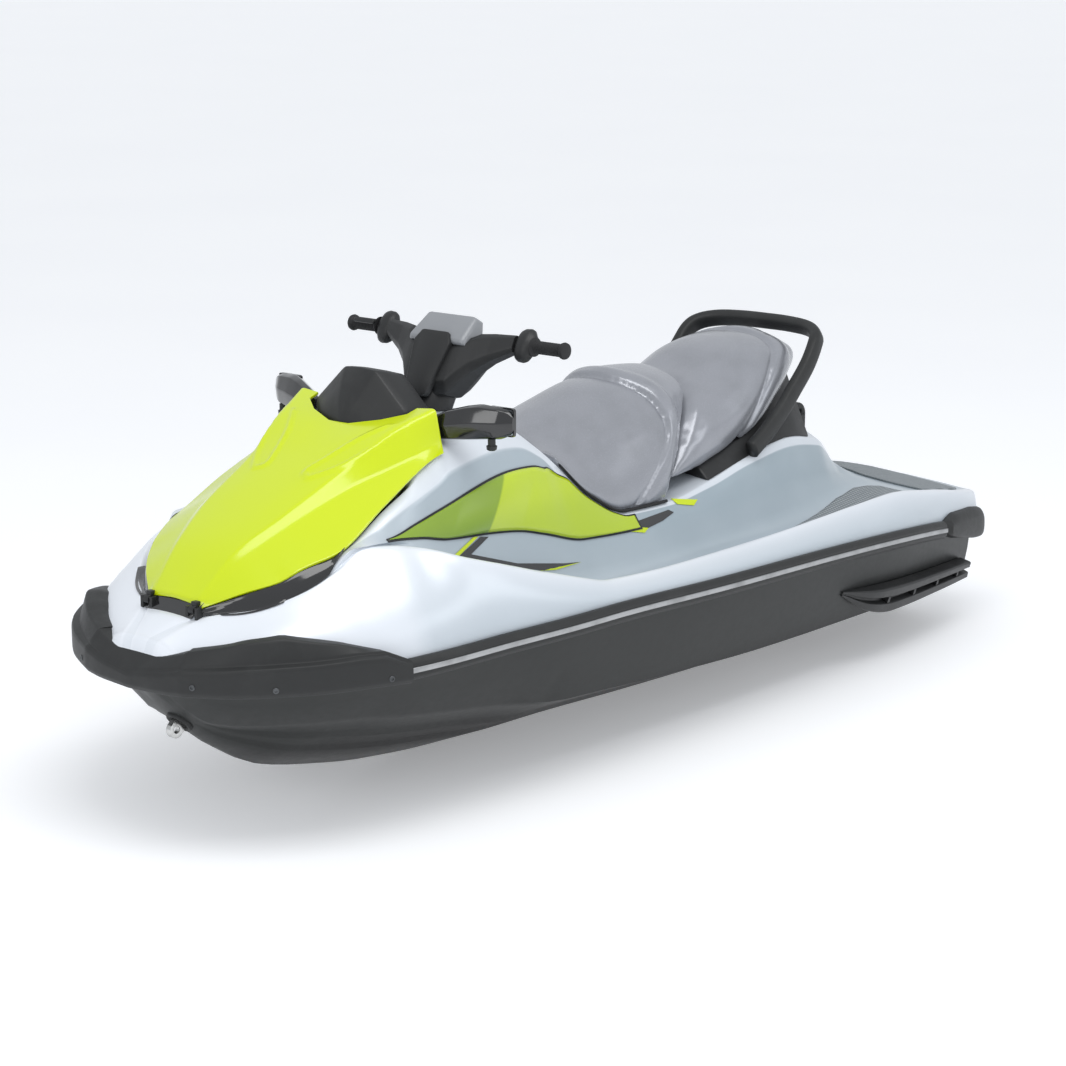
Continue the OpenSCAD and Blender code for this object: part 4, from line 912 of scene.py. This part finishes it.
# Cloth run of a pad: its mesh, its frames, and the furthest that a point may move
PAD_VOXEL, CLOTH_FRAMES, SWELL_LIMIT = .006, 20, .006
# Band above a pad's foot that is held, and half the gap between the two pads
HELD_BAND, JOINT_GAP = .012, .009


def swell(obj, held):
    """Remesh, then a short cloth run under pressure that no point follows further than the limit."""
    modifier(obj, "remesh", "REMESH", mode="VOXEL", voxel_size=PAD_VOXEL)
    bpy.context.view_layer.update()
    apply(obj)
    smooth(obj, 20)
    rest = np.array([v.co for v in obj.data.vertices])
    pins = obj.vertex_groups.new(name="held")
    pins.add([i for i, p in enumerate(rest) if held(p)], 1.0, "REPLACE")
    cloth = modifier(obj, "cloth", "CLOTH")
    s = cloth.settings
    s.quality, s.mass, s.tension_stiffness, s.compression_stiffness = 4, .35, 22, 22
    s.use_pressure, s.uniform_pressure_force = True, 4
    s.vertex_group_mass = "held"
    s.effector_weights.gravity = 0
    cloth.collision_settings.use_collision = False
    cloth.point_cache.frame_start, cloth.point_cache.frame_end = 1, CLOTH_FRAMES
    for f in range(1, CLOTH_FRAMES + 1):
        scene.frame_set(f)
    apply(obj)
    scene.frame_set(1)
    now = np.array([v.co for v in obj.data.vertices])
    move = now - rest
    far = np.linalg.norm(move, axis=1, keepdims=True)
    now = rest + move * np.minimum(1, SWELL_LIMIT / np.maximum(far, 1e-9))
    obj.data.vertices.foreach_set("co", now.ravel())
    obj.vertex_groups.clear()
    smooth(obj, 24)
    obj.data.polygons.foreach_set("use_smooth", [True] * len(obj.data.polygons))
    obj.data.update()


def press(obj, depth_at):
    """Draws the surface in by a depth that depends on the place."""
    mesh = obj.data
    co = np.array([v.co for v in mesh.vertices])
    normal = np.array([v.normal for v in mesh.vertices])
    mesh.vertices.foreach_set("co", (co - normal * depth_at(co, normal)[:, None]).ravel())
    mesh.update()


JOINT_OUT = np.array([math.cos(JOINT_LEAN), 0, math.sin(JOINT_LEAN)])


def seat_piece(name, mesh, node):
    obj = piece(name, mesh, "boat", VINYL)
    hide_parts(node)
    return obj


def from_seam(co, normal, half, out):
    """How far points lie to the out side of a sewn line, given from its port foot to the pad's middle."""
    loop = path_points(np.concatenate([half, (np.array(half) * [1, -1, 1])[-2::-1]]), 12)
    far = (co ** 2).sum(1)[:, None] + (loop ** 2).sum(1)[None] - 2 * co @ loop.T
    off = co - loop[far.argmin(1)]
    off -= normal * (off * normal).sum(1, keepdims=True)
    return np.linalg.norm(off, axis=1) * np.sign(off @ np.asarray(out))


SEAM_FRONT = [[-.035, .264, .300], [-.047, .263, .314], [-.181, .241, .424], [-.241, .22, .485],
              [-.25, .201, .545], [-.232, .166, .60], [-.205, .096, .632], [-.19, .03, .642],
              [-.188, 0, .642]]
SEAM_REAR = [[-.60, .228, .40], [-.64, .226, .45], [-.70, .217, .52], [-.772, .202, .60],
             [-.833, .166, .652], [-.855, .123, .676], [-.865, .06, .688], [-.866, 0, .692]]


def make_front_seat():
    n = np.arange(-5, 2.61, .1)
    sides = np.stack([line(LEDGE, n) + [0, -.002, .001]] + [line(t, n) for t in SEAT_FRONT], 1)
    mesh = seat_form("seat_front_pad", sides, line(LEDGE, n) + [0, -.006, .0015])
    cut(mesh, JOINT_AT + JOINT_OUT * JOINT_GAP, JOINT_OUT)
    obj = seat_piece("seat_front_pad", mesh, "seat_front")
    foot = line(LEDGE, n)[:, 2]
    swell(obj, lambda p: p[2] < np.interp(p[0] / STATION, n, foot) + HELD_BAND)

    def seams(co, normal):
        # Horseshoe: a rolled bolster behind the sewn line, the middle of the pad drawn down ahead of it
        fore = from_seam(co, normal, SEAM_FRONT, JOINT_OUT)
        top = step((co[:, 2] - .40) / .18)
        return (.0045 * np.exp(-(fore / .0055) ** 2) + .0018 * np.exp(-((fore + .021) / .0035) ** 2)
                + .012 * np.exp(-np.maximum(fore, 0) / .055) * step((fore + .012) / .018) * (.25 + .75 * top)
                - .009 * np.sin(np.pi * np.clip(-fore / .075, 0, 1)) * (.4 + .6 * top))

    press(obj, seams)
    smooth(obj, 2)
    return obj


def make_rear_seat():
    n = np.arange(-10.5, -1.99, .1)
    half = np.stack([line(t, n) for t in SEAT_REAR], 1)
    mesh = seat_form("seat_rear_pad", half, half[:, 0] + [0, -.004, -.001])
    cut(mesh, JOINT_AT - JOINT_OUT * JOINT_GAP, -JOINT_OUT)
    obj = seat_piece("seat_rear_pad", mesh, "seat_rear")
    swell(obj, lambda p: p[2] < np.interp(p[0] / STATION, n, half[:, 0, 2]) + HELD_BAND)

    def seams(co, normal):
        # A sewn line round the pad inside its rear bolster
        fore = from_seam(co, normal, SEAM_REAR, (.9, 0, .43))
        return (.004 * np.exp(-(fore / .0055) ** 2)
                + .008 * np.exp(-np.maximum(fore, 0) / .07) * step((fore + .012) / .018)
                - .006 * np.sin(np.pi * np.clip(-fore / .08, 0, 1)))

    press(obj, seams)
    smooth(obj, 2)
    return obj


for pad in (make_front_seat(), make_rear_seat()):
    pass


def make_piping():
    """A dark bead along the foot of the front pad."""
    bead = line(LEDGE, np.arange(-1.9, 2.62, .12)) + [0, .003, .005]
    ring = np.insert(oval(10, 2) * .0045, 0, 0, axis=1)
    port_and_starboard("seat_piping", [bead[:, None] + ring[None]], "boat", RUBBER)


make_piping()


def make_grab_bar():
    """One flattened bar round the back of the saddle."""
    half = np.array(GRAB) * [STATION, HALF, HIGH] - [0, 0, DRAUGHT]
    course = path_points(np.concatenate([half, (half * [1, -1, 1])[-2::-1]]), 8)
    obj = tube("grab_bar", course, oval(20, 3.2) * [.018, .026], "boat", BUMPER, up=(.62, 0, .78))
    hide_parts("grab_rail")


make_grab_bar()


def make_mats():
    """Footwell mats, which keep to the outboard side until they reach the ramp."""
    n = np.arange(-11.8, 5.6, .1)
    width = np.interp(n, [-11.8, -11.5, -10.9, -9.6, -8, -6, 5.6], [.62, .8, .92, .92, .7, .5, .5])[:, None]
    outer, inner = line(FLOOR_OUT, n), line(FLOOR_IN, n)
    grid = skin_between(outer, outer + (inner - outer) * width, MAT_LIFT, MAT_INSET, 13)
    mats = both_sides("footwell_mat_skins", grid, "boat", MAT, MAT_WALL)
    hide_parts("footwell_mats")


make_mats()


# Bumpers: lofts round the bow and the stern corners that run into the deck
def plan_normals(path):
    along = np.gradient(path, axis=0)
    out = np.stack([-along[:, 1], along[:, 0], np.zeros(len(path))], -1)
    out /= np.linalg.norm(out, axis=1, keepdims=True)
    return out


def make_bow_bumper():
    n = np.concatenate([np.arange(11.33, 15.3, .12), [15.3]])
    path = line(RAIL, n)
    nose = path_points([path[-1], [1.541, .10, path[-1, 2]], [1.548, 0, path[-1, 2]]], 6)[1:]
    path = np.concatenate([path, nose])
    full = np.concatenate([path, (path * [1, -1, 1])[-2::-1]])
    out = plan_normals(full)
    out *= np.sign(out[0, 1])
    along = np.concatenate([n, np.linspace(15.4, 16, len(nose))])
    along = np.concatenate([along, along[-2::-1]])
    read = lambda *table: np.interp(along, *zip(*table))
    rise = read((11.33, .027), (11.63, .045), (11.93, .059), (12.83, .090), (14.03, .119), (14.63, .107),
                (15.3, .078), (15.75, .056), (16, .055))
    fold = read((11.33, .021), (11.93, .052), (12.5, .058), (14.03, .057), (14.63, .052), (15.3, .040),
                (15.75, .022), (16, .012))
    foot = read((11.33, -.027), (12.2, -.021), (14, -.018), (15.3, -.027), (16, -.032))
    ledge = read((11.33, 0), (11.8, .014), (14.8, .014), (15.4, .004), (16, 0))
    grid = []
    for p, o, up, c, low, d in zip(full, out, rise, fold, foot, ledge):
        outline = [(-.07, up - .012), (-.03, up), (.002, up * .985), (.030 - d, c + .010),
                   (.032 - d, c + .003), (.036, c - .002), (.039, c - .011), (.039, low + .012),
                   (.031, low), (0, low - .004), (-.07, low - .004)]
        eased = eased_ring(outline, .16, 4)
        grid.append(p + o * eased[:, :1] + np.array([0, 0, 1]) * eased[:, 1:])
    obj = skin("bow_bumper_skin", np.array(grid), "boat", BUMPER, closed=True, capped=True)
    crisp(obj)
    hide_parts("bow_bumper")
    return obj


bow_bumper = make_bow_bumper()


def make_stern_bumpers():
    rail = line(RAIL, [-13.03, -13.6, -14.4, -15.2, -15.9])
    corner = [[-1.632, HALF * .69, line(RAIL, [-16.3])[0, 2]], [-1.65, HALF * .60, .01],
              [-1.655, HALF * .5, .01], [-1.655, HALF * .42, .01]]
    path = path_points(np.concatenate([rail, corner]), 6)
    out = plan_normals(path)
    out *= np.sign(out[0, 1])
    deep = np.interp(np.arange(len(path)), [0, 3, len(path) - 12, len(path)], [.3, 1, 1, .8])
    rise = np.interp(np.arange(len(path)), [0, 8, 20, len(path)], [.35, .8, 1, .9])
    corners = [(-.03, -.04), (.018, -.04), (.03, -.024), (.03, .03), (.014, .06), (-.03, .062)]
    outline = eased_ring(corners, .4, 5)
    grid = np.array([p + o * outline[:, :1] * d + np.array([0, 0, 1]) * outline[:, 1:] * h
                     for p, o, d, h in zip(path, out, deep, rise)])
    obj = port_and_starboard("stern_bumper_skins", [grid], "boat", BUMPER)
    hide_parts("stern_bumpers")


make_stern_bumpers()

# Pixels of the bolts along the foot of the bow bumper
BOLT_PIXELS = [(192, 688), (276, 691), (392, 679)]


def make_bolts():
    head = [(0, .0075), (.0022, .0075), (.0034, .0062), (.0034, .0036), (.0014, .0034), (.0014, .0002)]
    bumper_tree = tree_of(bow_bumper)
    bolts = []
    for px, py in BOLT_PIXELS:
        hit, normal, _, _ = bumper_tree.ray_cast(eye, sight(px, py))
        bolts.append(lathe_grid(np.array(hit) - np.array(normal) * .001, normal, head, 16))
    port_and_starboard("bumper_bolts", bolts, "boat", DARK_ALLOY)


make_bolts()

# The stem where the bow eye stands
STEM_AT, STEM_RAKE = (1.42, 0, -.0092), math.radians(46)


def make_eye_cup():
    """Cup round the bow eye, square to the stem."""
    outline = [(-.02, .036), (.004, .037), (.007, .034), (.006, .029), (.001, .026), (.0005, .002)]
    cup = lathe_grid(STEM_AT, (math.sin(STEM_RAKE), 0, -math.cos(STEM_RAKE)), outline, 40)
    skin("bow_eye_cup", cup, "boat", BUMPER, closed=True, capped=True)


make_eye_cup()


# Meter cover: a faceted pod ahead of the bars
def make_meter_cover():
    n = np.array([6.8, 7.1, 7.4, 7.69, 7.8, 7.95, 8.1, 8.25, 8.35, 8.44])
    table = [[6.8, .27, .965, .125, 1.045], [7.4, .275, .972, .11, 1.06], [7.69, .27, .968, .093, 1.064],
             [8.2, .17, .938, .05, .985], [8.44, .045, .905, .012, .925]]
    read = lambda c: np.interp(n, [q[0] for q in table], [q[c] for q in table])
    at = lambda y, h: np.stack([n * STATION, y * HALF, h - DRAUGHT], -1)
    half = np.stack([at(read(1) + .02, np.minimum(read(2), .93) - .07), at(read(1), read(2)),
                     at(read(3), read(4)), at(read(3) * 0, read(4) + .004)], 1)
    grid = rounded(whole(half), [0, .1, .1, .3, .1, .1, 0], 4)
    obj = skin("meter_pod", grid, "boat", BLACK, closed=True, capped=True)
    ease_edges(obj, .003, 2, 24)
    crisp(obj)
    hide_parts("meter_cover")


make_meter_cover()


# Mirrors: flattened pods on the hood's shoulders, each with a pin below
def make_mirrors():
    y = np.linspace(.205, .425, 24)
    read = lambda *v: np.interp(y, [.205, .25, .30, .335, .39, .412, .425], v)
    back = read(.705, .69, .668, .6503, .6503, .6503, .655)
    fore = read(.737, .735, .722, .712, .692, .676, .662)
    low = read(.897, .900, .902, .905, .912, .922, .938)
    high = read(.957, .978, .992, .998, .994, .988, .972)
    grid = []
    for v, b, f, a, c in zip(y, back, fore, low, high):
        w, h = f - b, c - a
        ring = eased_ring([(b, a + .1 * h), (b, c - .12 * h), (b + .35 * w, c), (f - .25 * w, c - .06 * h),
                           (f, c - .48 * h), (f - .12 * w, a + .08 * h), (b + .3 * w, a)], .1, 4)
        grid.append(np.stack([ring[:, 0], np.full(len(ring), v), ring[:, 1] - DRAUGHT], -1))
    grid = np.array(grid)
    obj = port_and_starboard("mirror_pods", [grid], "boat", GLOSS)
    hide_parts("mirror_housings")
    pin_outline = [(0, .009), (.003, .013), (.012, .014), (.014, .010), (.03, .010)]
    pin = lathe_grid((.683, .375, .885 - DRAUGHT), (0, 0, 1), pin_outline, 20)
    port_and_starboard("mirror_pins", [pin], "boat", BLACK)
    # A rim round each glass
    low, high = (np.array(v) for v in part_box("mirror_glass"))
    edge = .3415
    inner = np.array([[edge, low[2]], [high[1], low[2]], [high[1], high[2]], [edge, high[2]]])
    centre = inner.mean(0)
    rings = [(.6515, .0035), (low[0] - .001, .0035), (low[0] - .001, .0003), (.6515, .0003), (.6515, .0035)]
    rim = []
    for x, wide in rings:
        ring = eased_ring(inner + np.sign(inner - centre) * wide, .1, 4)
        rim.append(np.concatenate([np.full((len(ring), 1), x), ring], 1))
    port_and_starboard("mirror_rims", [np.array(rim)], "boat", GLOSS, capped=False)


make_mirrors()

# Handlebar, in the frame of its raked column: u ahead, v to port, w along the column
RAKE, COLUMN_X, COLUMN_HIGH = math.radians(29), .5, .935


def bar(u, v, w):
    """Places in the boat's frame from places in the column's."""
    u, v, w = np.broadcast_arrays(u, v, w)
    return np.stack([COLUMN_X + u * math.cos(RAKE) - w * math.sin(RAKE), v + 0 * u,
                     COLUMN_HIGH - DRAUGHT + u * math.sin(RAKE) + w * math.cos(RAKE)], -1)


def make_neck():
    v = np.linspace(-.224, .224, 113)
    knots = [0, .040, .072, .088, .120, .160, .225]
    read = lambda *q: np.interp(np.abs(v), knots, q)
    low = read(.012, .012, .018, .045, .092, .128, .168)
    high = read(.158, .162, .172, .178, .200, .208, .214)
    fore = read(.070, .069, .064, .060, .048, .035, .022)
    back = read(-.062, -.060, -.054, -.050, -.038, -.031, -.026)
    rows = []
    for y, a, c, f, b in zip(v, low, high, fore, back):
        h = c - a
        ring = eased_ring([(b, c - .18 * h), (b * .8, c), (f * .7, c), (f, c - .2 * h),
                           (f * .94, a + .22 * h), (f * .6, a), (b * .45, a + .1 * h),
                           (b, a + .34 * h)], .12, 4)
        rows.append(bar(ring[:, 0], np.full(len(ring), y), ring[:, 1]))
    obj = skin("bar_neck", np.array(rows), "handlebar", BLACK, closed=True, capped=True)
    crisp(obj)
    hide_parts("handlebar_cover", "handlebar_arms")


make_neck()


def make_front_plate():
    """A flat shield that stands off the front of the neck and covers the foot of the pad."""
    plate = eased_ring([(-.037, -.004), (-.064, .150), (-.045, .180), (.045, .180), (.064, .150),
                        (.037, -.004)], .1, 4)
    middle = np.array([0, .09])
    rows = []
    for u, share in ((.058, .97), (.074, 1), (.0775, .985), (.079, .95)):
        ring = middle + (plate - middle) * share
        rows.append(bar(u, ring[:, 0], ring[:, 1]))
    obj = skin("bar_front_plate", np.array(rows), "handlebar", BLACK, closed=True, capped=True)
    crisp(obj)


make_front_plate()

# Axis of the grips, ahead of the column and along it
GRIP_AHEAD, GRIP_UP = -.005, .195


def make_grips():
    """Ribbed sleeves with a collar inboard and a flared end; outlines are place along the bar and radius."""
    rib = ((0, 0), (.0012, .0016), (.0036, .0016), (.0048, 0))
    ribs = [(.286 + .0055 * i + along, .0158 + high) for i in range(15) for along, high in rib]
    collar = [(.2755, .0185), (.2765, .026), (.279, .0255), (.284, .0165)]
    flare = [(.3685, .0165), (.3725, .021), (.378, .0225), (.3835, .021), (.385, .017), (.385, .001)]
    sleeve = lathe_grid(bar(GRIP_AHEAD, 0, GRIP_UP), (0, 1, 0), collar + ribs + flare, 36)
    obj = port_and_starboard("grip_sleeves", [sleeve], "handlebar", RUBBER)
    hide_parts("grips")


make_grips()


def make_switch_pods():
    """Tall rounded pods beside the grips, each with two buttons on its rear face."""
    outline = [(.2235, .018), (.2245, .027), (.230, .034), (.238, .0375), (.254, .0385), (.262, .036),
               (.268, .029), (.274, .024), (.2752, .018)]
    button = [(0, .008), (.006, .008), (.0075, .0065), (.0075, .0005)]
    turn_round = np.linspace(0, 2 * math.pi, 36, endpoint=False)
    wide, tall = .66 * np.cos(turn_round), 1.22 * np.sin(turn_round)
    pod = np.array([bar(r * wide + GRIP_AHEAD, at, GRIP_UP + r * tall) for at, r in outline])
    back = bar(-1, 0, 0) - bar(0, 0, 0)
    buttons = [lathe_grid(bar(-.026, .246, w), back, button, 20) for w in (.212, .186)]
    obj = port_and_starboard("switch_pods", [pod] + buttons, "handlebar", BLACK)
    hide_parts("switch_housings")


make_switch_pods()

# Sponsons: two flanges with a ribbed channel between them
SPONSON_GAP = .0003
SIDE_AFT = [[-15.6, .725, .225], [-13, .795, .24], [-9.5, .868, .26], [0, .915, .30]]
CHINE_AFT = [[-15.6, .70, .150], [-13, .765, .153], [-9.5, .814, .157], [-3.3, .83, .167]]


def sponson_ring(n, profile):
    """Section at a station, from pairs of height and depth as shares of the sponson's own."""
    a, b = line(CHINE_AFT, [n])[0], line(SIDE_AFT, [n])[0]
    d = (b - a) / np.linalg.norm(b - a)
    o = np.array([0, d[2], -d[1]])
    at = np.array([n])
    deep = HALF * fair([[-15, .075], [-9, .068], [-7, .012]], at, 1)[0]
    foot = a + (b - a) * fair([[-15, .04], [-9.8, .06], [-8.4, .3], [-7, .86]], at, 1)[0]
    head = a + (b - a) * fair([[-15, .75], [-9, .9], [-7, .98]], at, 1)[0]
    return np.array([foot + (head - foot) * t + o * (SPONSON_GAP + deep * q) for t, q in profile])


def make_sponsons():
    channel = eased_ring([(0, 0), (-.02, .8), (.04, 1), (.36, 1), (.41, .5), (.60, .5), (.65, 1.02),
                          (.94, 1.06), (1, .92), (1, 0)], .14, 3)
    rows = np.array([sponson_ring(n, channel) for n in np.arange(-15, -6.99, .16)])
    obj = port_and_starboard("sponson_skins", [rows], "boat", BLACK)
    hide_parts("sponsons")
    rib = eased_ring([(.37, .45), (.37, .96), (.64, .98), (.64, .45)], .2, 3)
    ribs = [np.array([sponson_ring(n + d, rib) for d in (-.06, .06)]) for n in (-9.4, -11, -12.6, -14.1)]
    port_and_starboard("sponson_ribs", ribs, "boat", BLACK)


make_sponsons()


# Painted flashes on the deck, laid on it along the line of sight and mirrored to starboard: lime accents, and
# black patches that are painted shade for the dark recessed slots below the saddle
# Their lift off the deck, the half-breadth that they keep inside of, and their mesh's longest edge in pixels
FLASH_LIFT, FLASH_INBOARD, FLASH_EDGE = .002, .44, 3


def flash(name, outline, finish):
    """Paint inside an outline of pixels, on the first deck inboard of the crest that their rays meet."""
    b = bmesh.new()
    b.faces.new([b.verts.new((x, y, 0)) for x, y in outline])
    b.normal_update()
    bmesh.ops.triangulate(b, faces=b.faces)
    for _ in range(4):
        long = [e for e in b.edges if e.calc_length() > FLASH_EDGE]
        if long:
            bmesh.ops.subdivide_edges(b, edges=long, cuts=1, use_grid_fill=False)
            bmesh.ops.triangulate(b, faces=b.faces)
    missed = []
    for v in b.verts:
        ray = sight(v.co.x, v.co.y)
        hit, normal, _, _ = deck_tree.ray_cast(eye, ray)
        while hit is not None and (hit.y > FLASH_INBOARD or normal.dot(ray) > 0):
            hit, normal, _, _ = deck_tree.ray_cast(hit + ray * .001, ray)
        if hit is None or hit.y < 0:
            missed.append(v)
        else:
            v.co = hit + normal * FLASH_LIFT
    bmesh.ops.delete(b, geom=missed, context="VERTS")
    other = bmesh.ops.duplicate(b, geom=b.verts[:] + b.edges[:] + b.faces[:])["geom"]
    for v in other:
        if isinstance(v, bmesh.types.BMVert):
            v.co.y = -v.co.y
    bmesh.ops.recalc_face_normals(b, faces=b.faces)
    mesh = bpy.data.meshes.new(name)
    b.to_mesh(mesh)
    b.free()
    piece(name, mesh, "boat", finish)
    if sum(q.normal.z for q in mesh.polygons) < 0:
        mesh.flip_normals()


# The black flashes are painted shade for dark recessed slots below the saddle; the lime ones are accents
FLASHES = [
    ("flash_lime_fore", LIME, [(451.8, 557.2), (472.9, 537.2), (478, 536.5), (457.3, 557.2)]),
    ("flash_slot_shade_fore", GLOSS, [(458.4, 556.5), (480.2, 536.8), (488.2, 536.8), (470.7, 554.3), (517, 563.4),
                                 (564.5, 563.4), (580.9, 561.9), (543.4, 570.6), (513.6, 567.7),
                                 (462.7, 559)]),
    ("flash_lime_mid", LIME, [(539, 571), (580.9, 562.2), (556, 569.8)]),
    ("flash_lime_aft", LIME, [(617.2, 526.3), (648, 528), (644.5, 532.8), (622.7, 531.4)]),
    ("flash_slot_shade_aft", GLOSS, [(626.3, 525.8), (633.6, 522.6), (668, 510), (673.6, 512.5), (662.6, 520.8),
                                (648, 528)]),
    ("flash_lime_tail", LIME, [(670.6, 499), (697.2, 499.8), (693.5, 505.6), (677.2, 504.5)])]
for name, finish, outline in FLASHES:
    flash(name, outline, finish)

# CAD pieces that keep their shape, with the width of their eased edges
for name, finish, bevel in [
        ("hull_shell", CHARCOAL, 0), ("engine", ENGINE, .012), ("rub_rails", BUMPER, .003),
        ("rail_inserts", STRIPE, .001), ("bow_eye", STEEL, .002), ("stern_eyes", STEEL, .002),
        ("meter_display", DISPLAY, .002), ("mirror_glass", MIRROR, .001), ("seat_base", BLACK, .006),
        ("tow_hook", BUMPER, .005), ("platform_mat", MAT, .002), ("intake_grate", ALLOY, .002),
        ("ride_plate", ALLOY, .002), ("pump_housing", ALLOY, .002), ("pump_nozzle", ALLOY, .002),
        ("steering_mount", BLACK, .004), ("hood_knuckles", BLACK, .002), ("hood_brackets", BLACK, .002),
        ("steering_shaft", STEEL, .001), ("handlebar_shield", SILVER, .012), ("throttle_lever", BLACK, .003),
        ("steering_nozzle", DARK_ALLOY, .002), ("reverse_bucket", DARK_ALLOY, .002),
        ("impeller", STEEL, .001)]:
    dress(name, finish, bevel)


# Studio: pale floor at the keel, wide soft light from above and ahead
def studio():
    pale, reach = (.86, .865, .875), 400
    f = Finish("studio floor", pale, .6, Emission_Color=(.97, .98, 1, 1), Emission_Strength=.28)
    f.colour(f.mix(f.noise(.6, 2).over(.3, .8), pale, (.84, .845, .86)))
    corners = [(-reach, -reach), (reach, -reach), (reach, reach), (-reach, reach)]
    mesh = mesh_of("floor", [(x, y, -DRAUGHT) for x, y in corners], [(0, 1, 2, 3)])
    floor = bpy.data.objects.new("floor", mesh)
    scene.collection.objects.link(floor)
    mesh.materials.append(f.material)
    world = bpy.data.worlds.new("studio")
    scene.world = world
    world.use_nodes = True
    sky = world.node_tree.nodes["Background"].inputs
    sky["Color"].default_value = (.93, .96, 1, 1)
    sky["Strength"].default_value = .74
    for name, where, at, size, power, colour in [
            ("key", (1.2, 1.8, 4.6), (0, 0, .3), (4.2, 2.2), 104, (1, 1, 1)),
            ("side", (-2.5, 5.5, 2.6), (-.2, 0, .3), (4.0, 1.6), 32, (.97, .985, 1)),
            ("bow", (6.0, .5, 2.8), (.8, 0, .2), (2.5, 1.5), 32, (1, 1, 1))]:
        lamp = bpy.data.objects.new(name, bpy.data.lights.new(name, "AREA"))
        scene.collection.objects.link(lamp)
        lamp.data.shape, lamp.data.size, lamp.data.size_y = "RECTANGLE", size[0], size[1]
        lamp.data.energy, lamp.data.color = power, colour
        lamp.location = where
        lamp.rotation_mode = "QUATERNION"
        lamp.rotation_quaternion = (Vector(at) - Vector(where)).to_track_quat("-Z", "Y")


studio()
scene.view_settings.view_transform = "Standard"
